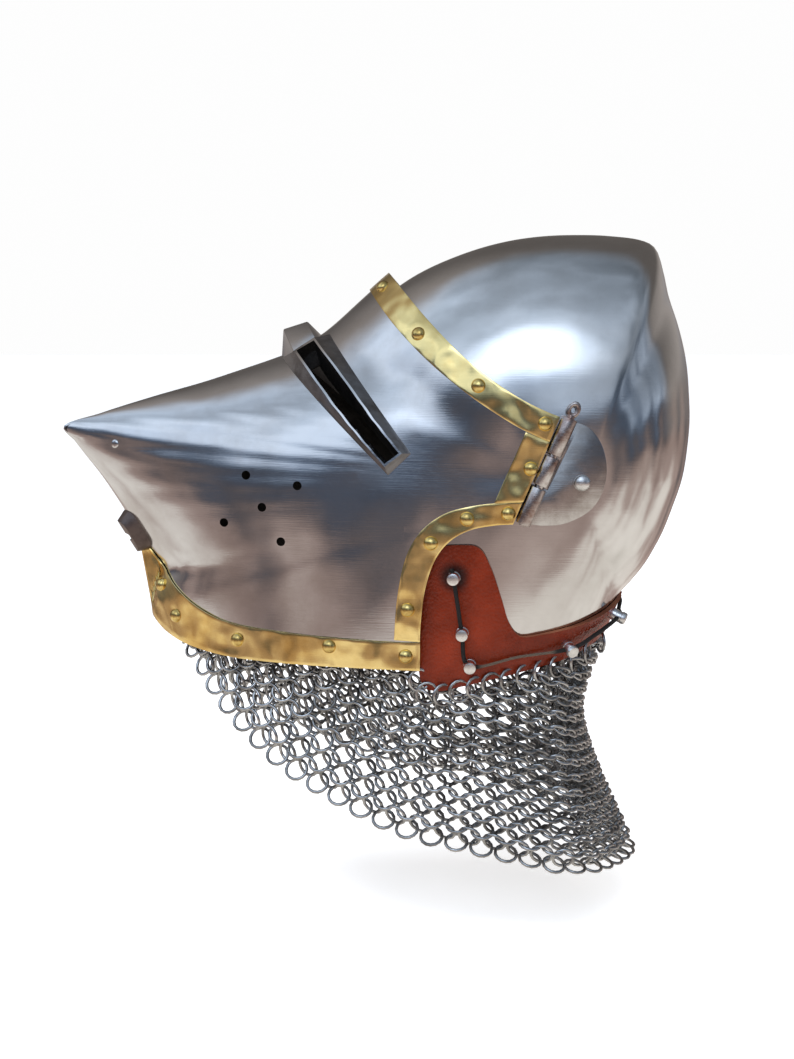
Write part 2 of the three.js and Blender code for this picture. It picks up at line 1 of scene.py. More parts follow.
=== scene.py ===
# %% [markdown]
# # A visored bascinet with a mail curtain
# The helmet has a raised steel skull, a pointed snout visor on two pin hinges, brass edging, a
# leather band on steel posts, and a curtain of linked rings. This lesson dresses the plain solids
# of the model: each piece is drawn again at a finer size, in the same place, with its own finish.
# Sizes are in millimetres until a mesh is finished, because a maker thinks in them.

# %% Load the frame
import math
import random

import bmesh
import bpy
from mathutils import Matrix, Vector, noise


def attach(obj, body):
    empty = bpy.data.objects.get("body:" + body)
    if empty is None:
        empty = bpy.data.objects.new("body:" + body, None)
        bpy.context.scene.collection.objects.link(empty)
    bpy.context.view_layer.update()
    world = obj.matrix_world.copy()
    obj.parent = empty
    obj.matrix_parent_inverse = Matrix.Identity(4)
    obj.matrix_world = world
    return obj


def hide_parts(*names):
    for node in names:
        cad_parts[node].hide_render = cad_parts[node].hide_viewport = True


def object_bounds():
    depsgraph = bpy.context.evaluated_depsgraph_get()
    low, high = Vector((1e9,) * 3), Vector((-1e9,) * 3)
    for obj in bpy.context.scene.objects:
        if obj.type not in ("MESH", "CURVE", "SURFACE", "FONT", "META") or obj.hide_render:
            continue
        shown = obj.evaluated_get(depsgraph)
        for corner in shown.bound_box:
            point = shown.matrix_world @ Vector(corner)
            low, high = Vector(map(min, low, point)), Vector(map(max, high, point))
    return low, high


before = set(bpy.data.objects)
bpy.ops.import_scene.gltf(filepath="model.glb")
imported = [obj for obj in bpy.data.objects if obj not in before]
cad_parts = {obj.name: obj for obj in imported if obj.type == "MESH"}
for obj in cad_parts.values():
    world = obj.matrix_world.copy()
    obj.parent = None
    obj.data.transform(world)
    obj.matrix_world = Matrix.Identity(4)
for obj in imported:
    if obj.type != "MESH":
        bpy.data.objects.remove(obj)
cad_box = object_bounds()
MM = 0.001

# %% [markdown]
# ## Camera, floor and light
# The photograph looks straight at the wearer's left side from a little above. A long lens keeps
# the snout and the back of the skull in proportion. The floor and the backdrop are one pale tone.
# Polished steel shows little but its surroundings, so the world is a bright sky over a dim
# horizon and warm ground, with the sun's glare to one side and a dark wall behind. The floor and
# the lamps hide from reflections so that only these tones reach the steel, and camera rays see a
# plain pale backdrop.

# %% Place the camera
CAMERA_RISE = math.radians(8)
CAMERA_DISTANCE = 1300
CAMERA_TARGET = Vector((-117.87, 0, -43.31))
FOCAL_PIXELS = 1884
PHOTO_WIDTH = 794
SENSOR_WIDTH = 36

camera_data = bpy.data.cameras.new("photo_camera")
camera_data.sensor_fit = "HORIZONTAL"
camera_data.sensor_width = SENSOR_WIDTH
camera_data.lens = SENSOR_WIDTH * FOCAL_PIXELS / PHOTO_WIDTH
camera = bpy.data.objects.new("photo_camera", camera_data)
back_off = Vector((0, -math.cos(CAMERA_RISE), math.sin(CAMERA_RISE))) * CAMERA_DISTANCE
camera.location = (CAMERA_TARGET + back_off) * MM
camera.rotation_euler = (math.pi / 2 - CAMERA_RISE, 0, 0)
bpy.context.scene.collection.objects.link(camera)
bpy.context.scene.camera = camera
print("lens", round(camera_data.lens, 1), "mm")

# %% Node helpers
def add_node(tree, kind, inputs=None, **settings):
    node = tree.nodes.new(kind)
    for key, value in settings.items():
        setattr(node, key, value)
    for key, value in (inputs or {}).items():
        node.inputs[key].default_value = value
    return node


def ramp_node(tree, stops):
    node = tree.nodes.new("ShaderNodeValToRGB")
    ramp = node.color_ramp
    while len(ramp.elements) < len(stops):
        ramp.elements.new(0.5)
    for element, (place, colour) in zip(ramp.elements, stops):
        element.position = place
        element.color = (*colour, 1)
    return node


def range_node(tree, start, end, low=0.0, high=1.0, soft=True):
    """A map from start and end to low and high, eased at both ends if it is soft."""
    inputs = {"From Min": start, "From Max": end, "To Min": low, "To Max": high}
    kind = "SMOOTHSTEP" if soft else "LINEAR"
    return add_node(tree, "ShaderNodeMapRange", inputs, interpolation_type=kind)


def join(tree, *links):
    """Link nodes; each link is a node and its output, then a node and its input."""
    for source, output, target, entry in links:
        tree.links.new(source.outputs[output], target.inputs[entry])


def new_finish(name):
    finish = bpy.data.materials.new(name)
    finish.use_nodes = True
    return finish, finish.node_tree, finish.node_tree.nodes["Principled BSDF"]


# %% Sky, horizon and ground
PALE = (0.94, 0.94, 0.94)
# columns: height of the direction from 0, straight down, to 1, straight up; colour
YARD_STOPS = [
    (0.00, (0.70, 0.65, 0.58)),
    (0.20, (0.98, 0.92, 0.84)),
    (0.30, (0.84, 0.77, 0.70)),
    (0.37, (0.49, 0.38, 0.335)),
    (0.43, (0.36, 0.265, 0.235)),
    (0.49, (0.14, 0.12, 0.12)),
    (0.56, (0.07, 0.09, 0.13)),
    (0.61, (0.19, 0.25, 0.35)),
    (0.66, (0.60, 0.72, 0.90)),
    (0.78, (0.86, 0.99, 1.17)),
    (0.90, (0.60, 0.71, 0.86)),
    (1.00, (0.38, 0.45, 0.54)),
]
FAR_WALL = (0.40, 0.36, 0.335)
BRIGHT_WAY = Vector((-0.62, -0.42, 0.66)).normalized()
SUN_WAY = Vector((-0.14, -0.79, 0.6)).normalized()
world = bpy.data.worlds.new("open_yard")
world.use_nodes = True
sky = world.node_tree
sky.nodes.clear()
way = add_node(sky, "ShaderNodeTexCoord")
split = add_node(sky, "ShaderNodeSeparateXYZ")
lift = range_node(sky, -1.0, 1.0, soft=False)
patches = add_node(sky, "ShaderNodeTexNoise", {"Scale": 3.2, "Detail": 4.0, "Roughness": 0.55})
sway = range_node(sky, 0.3, 0.7, -0.11, 0.11, soft=False)
height = add_node(sky, "ShaderNodeMath", operation="ADD")
tones = ramp_node(sky, YARD_STOPS)
facing = add_node(sky, "ShaderNodeVectorMath", {1: BRIGHT_WAY}, operation="DOT_PRODUCT")
glow = range_node(sky, 0.15, 0.98, 0.35, 1.15)
above = range_node(sky, 0.05, 0.35)
to_sun = add_node(sky, "ShaderNodeVectorMath", {1: SUN_WAY}, operation="DOT_PRODUCT")
hot = range_node(sky, 0.93, 0.999, high=1.3)
sunny = add_node(sky, "ShaderNodeMath", operation="ADD")
level = add_node(sky, "ShaderNodeMix", {2: 1.0}, data_type="FLOAT")
behind = range_node(sky, 0.0, 0.45)
below_roof = range_node(sky, 0.93, 0.8)
over_ground = range_node(sky, -0.1, 0.1, soft=False)
wall_low = add_node(sky, "ShaderNodeMath", operation="MULTIPLY")
wall_part = add_node(sky, "ShaderNodeMath", operation="MULTIPLY")
yard = add_node(sky, "ShaderNodeMix", {7: (*FAR_WALL, 1)}, data_type="RGBA")
around = add_node(sky, "ShaderNodeBackground")
backdrop = add_node(sky, "ShaderNodeBackground", {"Color": (*PALE, 1), "Strength": 1.05})
rays = add_node(sky, "ShaderNodeLightPath")
choose = add_node(sky, "ShaderNodeMixShader")
out = add_node(sky, "ShaderNodeOutputWorld")

# %% Join the sky
for node, entry in ((split, 0), (patches, "Vector"), (facing, 0), (to_sun, 0)):
    join(sky, (way, "Generated", node, entry))
for node in (lift, above, below_roof, over_ground):
    join(sky, (split, "Z", node, "Value"))
# height above the ground, with uneven edges, gives the colour
join(sky, (patches, "Fac", sway, "Value"), (lift, 0, height, 0), (sway, 0, height, 1), (height, 0, tones, 0))
# nearness to the bright side and to the sun gives the strength, above the horizon only
join(sky, (facing, "Value", glow, "Value"), (to_sun, "Value", hot, "Value"), (glow, 0, sunny, 0),
     (hot, 0, sunny, 1), (above, 0, level, "Factor"), (sunny, 0, level, 3))
# the wall stands behind, over the ground and below the roof
join(sky, (split, "Y", behind, "Value"), (behind, 0, wall_low, 0), (below_roof, 0, wall_low, 1),
     (wall_low, 0, wall_part, 0), (over_ground, 0, wall_part, 1), (wall_part, 0, yard, 0),
     (tones, 0, yard, 6))
join(sky, (yard, 2, around, "Color"), (level, 0, around, "Strength"), (rays, "Is Camera Ray", choose, 0),
     (around, 0, choose, 1), (backdrop, 0, choose, 2), (choose, 0, out, 0))
bpy.context.scene.world = world
bpy.context.scene.view_settings.view_transform = "Standard"
print("sky and ground tones:", len(YARD_STOPS))

# %% Floor
FLOOR_DROP = 30
FLOOR_HALF = 6
FLOOR_BACK = 2
floor_mesh = bpy.data.meshes.new("floor")
bm = bmesh.new()
bmesh.ops.create_grid(bm, x_segments=1, y_segments=1, size=FLOOR_HALF)
floor_height = cad_box[0][2] - FLOOR_DROP * MM
bmesh.ops.translate(bm, vec=(0, FLOOR_BACK, floor_height), verts=bm.verts)
bm.to_mesh(floor_mesh)
bm.free()
floor = bpy.data.objects.new("floor", floor_mesh)
bpy.context.scene.collection.objects.link(floor)
floor_finish, _, floor_paint = new_finish("pale_floor")
floor_paint.inputs["Base Color"].default_value = (0.9, 0.9, 0.9, 1)
floor_paint.inputs["Roughness"].default_value = 0.9
floor_paint.inputs["Emission Color"].default_value = (1, 0.975, 0.95, 1)
floor_paint.inputs["Emission Strength"].default_value = 0.64
floor_mesh.materials.append(floor_finish)
floor.visible_glossy = False
print("floor at", round(floor_height, 3), "m")

# %% Studio lights
# columns: name, place in metres, aim in metres, size in metres, watts
LIGHTS = [
    ("high_sun_panel", (-1.1, -0.85, 1.5), (-0.05, -0.05, 0.08), 0.55, 14),
    ("wide_sky_panel", (-0.2, -0.5, 2.4), (-0.1, 0, 0), 2.0, 26),
    ("rear_panel", (1.3, 0.9, 1.2), (0, 0, 0), 0.9, 8),
]
for name, place, aim, size, watts in LIGHTS:
    panel = bpy.data.lights.new(name, "AREA")
    panel.shape = "DISK"
    panel.size = size
    panel.energy = watts
    lamp = bpy.data.objects.new(name, panel)
    lamp.location = place
    lamp.rotation_euler = (Vector(aim) - Vector(place)).to_track_quat("-Z", "Y").to_euler()
    lamp.visible_glossy = False
    bpy.context.scene.collection.objects.link(lamp)
print("lights:", len(LIGHTS))

# %% [markdown]
# ## The two forms
# Skull and visor are both hammered plates that bulge from a pivot at each ear and meet in a soft
# ridge along the middle. A lemon whose ends are the pivots says that with few numbers: at each
# angle a radius gives the middle line, and two exponents give how full the side is and how round
# the ridge is. The rows below are read off the outline of the real helmet.

# %% Form tables
# columns: angle in degrees, radius, fullness, roundness
SKULL_ROWS = [
    (0, 78, 3, 1.75), (13, 82.4, 3, 1.75), (25.8, 90.1, 3, 1.75), (35, 97.9, 3, 1.7),
    (46, 111, 3, 1.65), (54.5, 123.4, 3, 1.55), (60.7, 134.5, 3, 1.5), (65, 147, 3, 1.45),
    (68.8, 158.4, 3, 1.42), (72, 161, 3, 1.42), (80.6, 158.9, 3, 1.45), (90, 157.5, 3, 1.5),
    (102.7, 158.7, 3, 1.5), (117.6, 162.6, 3, 1.5), (131.7, 168.9, 3, 1.5), (150, 176, 3, 1.5),
    (165, 178, 3, 1.5), (180, 182, 3, 1.5), (200, 215, 3, 1.5), (217, 262, 3, 1.5),
    (235, 310, 3, 1.5), (245, 295, 3, 1.5), (255, 230, 3, 1.5), (265, 178, 3, 1.55),
    (275, 135, 3, 1.6), (283, 109, 3, 1.7), (289, 96, 3, 1.75), (296, 90, 3, 1.75),
    (306, 84.6, 3, 1.75), (320, 78.7, 3, 1.75), (340, 75, 3, 1.75),
]
VISOR_ROWS = [
    (0, 150, 3, 1.5), (60, 170, 3, 1.5), (110, 178, 3, 1.5), (124, 178.5, 3, 1.5),
    (133, 179.7, 3, 1.5), (141.6, 182.4, 2.9, 1.5),
    (149.8, 189, 2.73, 1.43), (155.6, 200, 2.54, 1.4), (159.5, 214, 2.38, 1.36),
    (163.5, 234.6, 2.28, 1.29), (167.1, 258.8, 2.13, 1.27), (170.5, 290.6, 1.98, 1.24),
    (173.4, 323, 1.86, 1.22), (175.3, 347, 1.78, 1.2), (177, 339, 1.86, 1.22),
    (180.7, 322, 1.95, 1.38), (184.1, 310.7, 2.1, 1.46), (188.8, 298.8, 2.3, 1.52),
    (191.3, 293.5, 2.42, 1.55), (193.8, 288.5, 2.55, 1.56), (196.1, 295.4, 2.62, 1.48),
    (198.3, 302, 2.72, 1.42), (204.5, 310, 2.85, 1.42), (211.7, 323, 2.95, 1.46),
    (219, 332, 3, 1.5),
    (230, 348, 3, 1.5), (245, 350, 3, 1.5), (300, 200, 3, 1.5),
]
SKULL_HALF_WIDTH = 93
VISOR_HALF_WIDTH = 98.5

# %% Curve helpers
def hermite(p, here, after, leave, reach):
    """A soft curve from here to after, with the slopes that it leaves and reaches them with."""
    a = (2 * p ** 3 - 3 * p ** 2 + 1) * here + (p ** 3 - 2 * p ** 2 + p) * leave
    return a + (3 * p ** 2 - 2 * p ** 3) * after + (p ** 3 - p ** 2) * reach


def smooth(points, pieces):
    """Evenly counted points on a soft curve through the given ones."""
    last = len(points) - 1
    curve = []
    for step in range(pieces + 1):
        i = min(int(last * step / pieces), last - 1)
        p = last * step / pieces - i
        near = (max(i - 1, 0), i, i + 1, min(i + 2, last))
        before, here, after, beyond = (Vector(points[k]) for k in near)
        curve.append(hermite(p, here, after, (after - before) / 2, (beyond - here) / 2))
    return curve


def running_lengths(points):
    lengths = [0]
    for first, second in zip(points, points[1:]):
        lengths.append(lengths[-1] + (second - first).length)
    return lengths


def spaced(points, pieces):
    """The same line again, cut into pieces of one length."""
    lengths = running_lengths(points)
    line = []
    i = 0
    for step in range(pieces + 1):
        target = lengths[-1] * step / pieces
        while i < len(points) - 2 and lengths[i + 1] < target:
            i += 1
        share = (target - lengths[i]) / max(lengths[i + 1] - lengths[i], 1e-9)
        line.append(points[i].lerp(points[i + 1], share))
    return line


def along(line, share):
    place = share * (len(line) - 1)
    i = min(int(place), len(line) - 2)
    return line[i].lerp(line[i + 1], place - i)


def bearing(spot):
    """Angle of a side-view point about the pivot, in degrees."""
    return math.degrees(math.atan2(spot[1], spot[0])) % 360


def at_bearing(degrees, reach, y=0):
    return Vector((reach * math.cos(math.radians(degrees)), y, reach * math.sin(math.radians(degrees))))


# %% Form helpers
TIP_REACH = 7
TIP_STEP = 3
TIP_BLUR = 8
TIP_KEEP = 7
# angles where the rounding starts, is full, starts to fade and ends
TIP_SECTOR = (148, 164, 190, 204)
# columns: degrees to either side, weight
tip_turns = [step * TIP_STEP for step in range(-TIP_REACH, TIP_REACH + 1)]
TIP_SPREAD = [(turn, math.exp(-((turn / TIP_BLUR) ** 2) / 2)) for turn in tip_turns]
TIP_TOTAL = sum(part for _, part in TIP_SPREAD)
SLOPE_STEP = 0.4


def make_form(rows, half_width, snout=False):
    last = rows[-1]
    wrapped = [(last[0] - 360, *last[1:]), *rows]
    wrapped += [(row[0] + 360, *row[1:]) for row in rows[:2]]
    return {"rows": wrapped, "half_width": half_width, "snout": snout}


def profile(form, degrees):
    """Radius, fullness and roundness of a form at one angle."""
    rows = form["rows"]
    degrees %= 360
    i = max(k for k in range(1, len(rows) - 2) if rows[k][0] <= degrees)
    before, here, after, beyond = rows[i - 1:i + 3]
    span = after[0] - here[0]
    p = (degrees - here[0]) / span
    found = []
    for column in (1, 2, 3):
        leave = (after[column] - before[column]) / (after[0] - before[0]) * span
        reach = (beyond[column] - here[column]) / (beyond[0] - here[0]) * span
        found.append(hermite(p, here[column], after[column], leave, reach))
    return found


def half_width_at(form, x, z):
    """Half width in side view. Inside the outline a snout's tip is rounded, so its side has no ridge."""
    degrees = bearing((x, z))
    reach = math.hypot(x, z)
    found = profile(form, degrees)
    first, full, last, end = TIP_SECTOR
    inside = min(1, (degrees - first) / (full - first), (end - degrees) / (end - last))
    if form["snout"] and inside > 0:
        ease = inside * inside * (3 - 2 * inside)
        near = [profile(form, degrees + turn) for turn, _ in TIP_SPREAD]
        weights = [part for _, part in TIP_SPREAD]
        blunt = [sum(v * w for v, w in zip(column, weights)) / TIP_TOTAL for column in zip(*near)]
        kept = min(1, reach / found[0]) ** TIP_KEEP
        shares = (ease * (1 - kept), ease, ease)
        found = [sharp + (soft - sharp) * share for sharp, soft, share in zip(found, blunt, shares)]
    radius, fullness, roundness = found
    return form["half_width"] * (1 - min(1, reach / radius) ** fullness) ** (1 / roundness)


def left_normal(form, x, z):
    step = SLOPE_STEP
    slope_x = (half_width_at(form, x + step, z) - half_width_at(form, x - step, z)) / (2 * step)
    slope_z = (half_width_at(form, x, z + step) - half_width_at(form, x, z - step)) / (2 * step)
    return Vector((-slope_x, -1, -slope_z)).normalized()


def draped(form, x, z, lift=0):
    """Point on the left side of a form, lifted along its normal."""
    point = Vector((x, -half_width_at(form, x, z), z))
    return point + left_normal(form, x, z) * lift if lift else point


def middle_point(form, degrees):
    return at_bearing(degrees, profile(form, degrees)[0]).xz


skull_form = make_form(SKULL_ROWS, SKULL_HALF_WIDTH)
visor_form = make_form(VISOR_ROWS, VISOR_HALF_WIDTH, snout=True)
print("snout reaches", round(middle_point(visor_form, 175.3).x), "mm")

# %% Mesh helpers
CRISP_ANGLE = 35


def grid_mesh(columns, rows, place):
    """A grid whose vertices are moved to place(u, v), with u and v from 0 to 1."""
    bm = bmesh.new()
    uv_map = bm.loops.layers.uv.new("lay")
    bmesh.ops.create_grid(bm, x_segments=columns, y_segments=rows, size=0.5)
    for face in bm.faces:
        for corner in face.loops:
            corner[uv_map].uv = (corner.vert.co.x + 0.5, corner.vert.co.y + 0.5)
    for vert in bm.verts:
        vert.co = place(vert.co.x + 0.5, vert.co.y + 0.5)
    return bm


def mirror_left(bm):
    bmesh.ops.mirror(bm, geom=bm.verts[:] + bm.edges[:] + bm.faces[:], axis="Y", merge_dist=0.01)


def face_out(bm, inside):
    """Close the seams and turn every face away from a point inside."""
    bmesh.ops.remove_doubles(bm, verts=bm.verts, dist=0.01)
    bmesh.ops.recalc_face_normals(bm, faces=bm.faces)
    bm.normal_update()
    outward = 0
    for face in bm.faces:
        outward += face.normal.dot(face.calc_center_median() - inside) * face.calc_area()
    if outward < 0:
        bmesh.ops.reverse_faces(bm, faces=bm.faces)


def shade(mesh, sharp):
    """Smooth shading, with edges sharper than an angle in degrees left crisp."""
    mesh.shade_smooth()
    mesh.set_sharp_from_angle(angle=math.radians(sharp))


def to_object(name, bm, sharp=CRISP_ANGLE):
    bmesh.ops.scale(bm, vec=(MM, MM, MM), verts=bm.verts)
    mesh = bpy.data.meshes.new(name)
    bm.to_mesh(mesh)
    bm.free()
    shade(mesh, sharp)
    piece = bpy.data.objects.new(name, mesh)
    bpy.context.scene.collection.objects.link(piece)
    return piece


def coat(piece, finishes):
    for finish in finishes:
        piece.data.materials.append(finish)


def dress(piece, finishes, body, nodes):
    if not piece.data.materials:
        coat(piece, finishes)
    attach(piece, body)
    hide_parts(*nodes)
    print(piece.name, "stands for", len(nodes), "solids")


def round_edges(bm, edges, offset):
    bmesh.ops.bevel(bm, geom=edges, offset=offset, offset_type="OFFSET", segments=2, profile=0.5,
                    affect="EDGES", material=-1)


def add_wall(piece, thick, offset, bevel=0):
    wall = piece.modifiers.new("wall", "SOLIDIFY")
    wall.thickness = thick * MM
    wall.offset = offset
    if bevel:
        edge = piece.modifiers.new("edge", "BEVEL")
        edge.width = bevel * MM
        edge.segments = 2
        edge.limit_method = "ANGLE"
        edge.angle_limit = math.radians(50)
    return wall


def bake_modifiers(piece):
    """Write the modifiers into the mesh."""
    graph = bpy.context.evaluated_depsgraph_get()
    baked = bpy.data.meshes.new_from_object(piece.evaluated_get(graph))
    piece.modifiers.clear()
    piece.data = baked
    shade(baked, CRISP_ANGLE)


# %% [markdown]
# ## Metal finishes
# Hand-finished plate has long fine scratches from the polishing wheel, faint waves left by the
# hammer, and cloudy patches where fingers have dulled it. All the metals share these, so one node
# group makes them: a height for the bump, a cloud mask and a scratch mask. Each metal then uses
# them at its own strength.

# %% Worn metal group
worn_metal = bpy.data.node_groups.new("worn_metal", "ShaderNodeTree")
WEAR_SOCKETS = ("Scratch Depth", "Wave Depth", "Wave Scale", "Cloud Scale")
for socket in WEAR_SOCKETS:
    worn_metal.interface.new_socket(socket, in_out="INPUT", socket_type="NodeSocketFloat")
for socket in ("Height", "Cloud", "Scratch"):
    worn_metal.interface.new_socket(socket, in_out="OUTPUT", socket_type="NodeSocketFloat")
group_in = add_node(worn_metal, "NodeGroupInput")
group_out = add_node(worn_metal, "NodeGroupOutput")
coords = add_node(worn_metal, "ShaderNodeTexCoord")


def scratch_layer(turn, stretch):
    place = add_node(worn_metal, "ShaderNodeMapping", {"Rotation": turn, "Scale": stretch})
    lines = add_node(worn_metal, "ShaderNodeTexNoise", {"Scale": 1.0, "Detail": 4.0, "Roughness": 0.65})
    join(worn_metal, (coords, "Object", place, "Vector"), (place, 0, lines, "Vector"))
    return lines.outputs["Fac"]


def group_math(operation, first, second):
    node = add_node(worn_metal, "ShaderNodeMath", operation=operation)
    for socket, value in zip(node.inputs, (first, second)):
        if isinstance(value, (int, float)):
            socket.default_value = value
        else:
            worn_metal.links.new(value, socket)
    return node.outputs[0]


level_lines = scratch_layer((0, 0.12, 0), (38, 60, 2100))
slant_lines = scratch_layer((0, 0.85, 0), (34, 60, 1700))
scratches = group_math("MULTIPLY", group_math("ADD", level_lines, slant_lines), 0.5)
waves = add_node(worn_metal, "ShaderNodeTexNoise", {"Detail": 1.0})
clouds = add_node(worn_metal, "ShaderNodeTexNoise", {"Detail": 6.0, "Roughness": 0.6})
for node, entry in ((waves, "Wave Scale"), (clouds, "Cloud Scale")):
    join(worn_metal, (coords, "Object", node, "Vector"), (group_in, entry, node, "Scale"))
fine = group_math("MULTIPLY", scratches, group_in.outputs["Scratch Depth"])
broad = group_math("MULTIPLY", waves.outputs["Fac"], group_in.outputs["Wave Depth"])
worn_metal.links.new(group_math("ADD", fine, broad), group_out.inputs["Height"])
join(worn_metal, (clouds, "Fac", group_out, "Cloud"))
worn_metal.links.new(scratches, group_out.inputs["Scratch"])
print("worn metal nodes:", len(worn_metal.nodes))

# %% Metal maker
BUMP_DISTANCE = 0.6 * MM


def metal_finish(name, bright, dull, gloss, *wear_values):
    """A metal from its colours, its smoothest and roughest gloss, and a value for each wear socket."""
    finish, tree, shader = new_finish(name)
    shader.inputs["Metallic"].default_value = 1
    wear = add_node(tree, "ShaderNodeGroup", dict(zip(WEAR_SOCKETS, wear_values)), node_tree=worn_metal)
    tint = ramp_node(tree, [(0.42, bright), (0.66, dull)])
    rough = range_node(tree, 0.3, 0.7, *gloss, soft=False)
    blend = add_node(tree, "ShaderNodeMath", {1: 0.55}, operation="MULTIPLY_ADD")
    share = add_node(tree, "ShaderNodeMath", {1: 0.45}, operation="MULTIPLY")
    bump = add_node(tree, "ShaderNodeBump", {"Strength": 1.0, "Distance": BUMP_DISTANCE})
    join(tree, (wear, "Cloud", tint, 0), (tint, 0, shader, "Base Color"), (wear, "Scratch", share, 0),
         (wear, "Cloud", blend, 0), (share, 0, blend, 2), (blend, 0, rough, "Value"),
         (rough, 0, shader, "Roughness"), (wear, "Height", bump, "Height"), (bump, 0, shader, "Normal"))
    return finish


# columns: name, bright colour, dull colour, gloss, scratch depth, wave depth, wave scale, cloud scale
METALS = [
    ("polished_skull_steel", (0.7, 0.7, 0.7), (0.58, 0.57, 0.56), (0.07, 0.18), 0.05, 1.1, 26, 14),
    ("polished_visor_steel", (0.66, 0.665, 0.68), (0.54, 0.525, 0.52), (0.06, 0.16), 0.07, 1.1, 26, 16),
    ("hammered_brass", (0.93, 0.74, 0.33), (0.78, 0.53, 0.18), (0.1, 0.24), 0.04, 5.0, 46, 30),
    ("rivet_brass", (0.8, 0.61, 0.23), (0.52, 0.34, 0.1), (0.14, 0.3), 0.1, 0.8, 60, 160),
    ("hinge_steel", (0.6, 0.58, 0.57), (0.24, 0.14, 0.11), (0.14, 0.38), 0.15, 0.8, 60, 70),
    ("leaf_steel", (0.56, 0.55, 0.54), (0.4, 0.37, 0.35), (0.1, 0.26), 0.1, 0.8, 60, 50),
    ("post_steel", (0.8, 0.8, 0.8), (0.62, 0.62, 0.62), (0.18, 0.36), 0.2, 0.8, 60, 120),
    ("mail_wire", (0.54, 0.545, 0.55), (0.22, 0.215, 0.21), (0.16, 0.36), 0.1, 0.8, 60, 60),
    ("welded_frame_steel", (0.32, 0.31, 0.31), (0.17, 0.15, 0.14), (0.24, 0.46), 0.3, 0.8, 60, 60),
    ("browned_lip_steel", (0.2, 0.16, 0.145), (0.1, 0.075, 0.065), (0.3, 0.5), 0.3, 0.8, 60, 60),
    # the inside finish is unpolished steel made near-black, painted shade inside the helmet and its openings
    ("unpolished_inside_painted_shade", (0.05, 0.047, 0.045), (0.02, 0.018, 0.017), (0.5, 0.75), 0.2, 1.1, 26, 40),
]
(skull_steel, visor_steel, brass, brass_dome, hinge_steel, leaf_steel, post_steel, mail_steel, frame_steel,
 lip_steel, inside_painted_shade) = [metal_finish(*row) for row in METALS]
print("metal finishes:", len(METALS))

# %% [markdown]
# ## Skull
# The skull is one plate raised over stakes into a dome with a soft keel and a low point at the
# back of the crown. A round fan of columns about the ear follows how the plate bulges, so the
# grid is wrapped about the pivot: one direction goes round, the other goes from the ear out to
# the middle line or to the edge of the face or neck. The left half is mirrored, then a wall is
# added inwards.

# %% Skull edges
FACE_EDGE = [(-152, 88), (-122, 56), (-106, 20), (-101, -20), (-101, -60), (-102, -100), (-99, -127)]
NECK_EDGE = [(-99, -127), (-72, -123.5), (-50, -119), (-12, -110), (8, -103.5), (22, -99), (32, -95.6)]
SKULL_WALL = 1.8
SKULL_START = 150
SKULL_GRID = (264, 56)
open_edge = smooth(FACE_EDGE, 60) + smooth(NECK_EDGE, 60)[1:]
edge_angles = [bearing(point) for point in open_edge]


def skull_reach(degrees):
    """How far the plate goes from the pivot in side view."""
    radius = profile(skull_form, degrees)[0]
    angle = degrees % 360
    for i in range(len(open_edge) - 1):
        if edge_angles[i] <= angle <= edge_angles[i + 1]:
            share = (angle - edge_angles[i]) / max(edge_angles[i + 1] - edge_angles[i], 1e-9)
            return min(radius, open_edge[i].lerp(open_edge[i + 1], share).length)
    return radius


# %% Skull plate
def skull_place(u, v):
    degrees = SKULL_START + 360 * u
    radius, fullness, roundness = profile(skull_form, degrees)
    edge_turn = math.acos(min(1, (skull_reach(degrees) / radius) ** (fullness / 2)))
    turn = math.pi / 2 + (edge_turn - math.pi / 2) * v
    reach = radius * max(math.cos(turn), 0) ** (2 / fullness)
    return at_bearing(degrees, reach, -SKULL_HALF_WIDTH * math.sin(turn) ** (2 / roundness))


bm = grid_mesh(*SKULL_GRID, skull_place)
mirror_left(bm)
face_out(bm, Vector((-30, 0, 20)))
skull = to_object("skull_plate", bm)
# the inner face of the skull's wall takes the near-black inside finish, painted shade
add_wall(skull, SKULL_WALL, -1).material_offset = 1
dress(skull, [skull_steel, inside_painted_shade], "helmet", ["skull"])

# %% [markdown]
# ## Visor
# The visor is a second raised plate, drawn out to a point in front. Seen from the side, every
# part of its edge can be seen from one place at the lower end of the eye slot, so a fan of
# columns from there to the edge covers it without folds, and the middle of the fan falls in the
# slot, where it is cut away. The slots, the mouth and the breaths are then cut with a Boolean,
# as a maker would pierce the plate after raising it.

# %% Visor edges
BROW_EDGE = [(-122.6, 131.4), (-110.6, 117.1), (-96.3, 100.6), (-77.2, 81.2), (-58.4, 65.8),
             (-39.6, 53.6), (-25, 46.4), (-14.6, 42.2)]
CHEEK_EDGE = [(-44, -26.2), (-56, -27), (-71.3, -30.1), (-84, -37.4), (-93.5, -49.8), (-99.9, -69.7),
              (-102.8, -96.7), (-103, -122.5)]
RIM_EDGE = [(-103, -122.5), (-148, -121.8), (-195, -121.3), (-230, -120.6), (-257, -117),
            (-275, -110.5), (-286, -101.5)]
BROW_ANGLE = 133.02
CHIN_ANGLE = 199.54
VISOR_WALL = 1.6
FAN_MIDDLE = Vector((-117, 12))
FAN_CROWD = 1.6
FAN_RINGS = 48
middle_turns = [CHIN_ANGLE + (BROW_ANGLE - CHIN_ANGLE) * i / 400 for i in range(401)]
middle_line = [middle_point(visor_form, degrees) for degrees in middle_turns]
hinge_line = [Vector(BROW_EDGE[-1]), Vector(CHEEK_EDGE[0])]
visor_loop = spaced(smooth(BROW_EDGE, 60), 44)[:-1] + spaced(hinge_line, 20)[:-1]
visor_loop += spaced(smooth(CHEEK_EDGE, 60), 40)[:-1] + spaced(smooth(RIM_EDGE, 60), 52)[:-1]
first_middle = len(visor_loop)
visor_loop += spaced(middle_line, 150)[:-1]


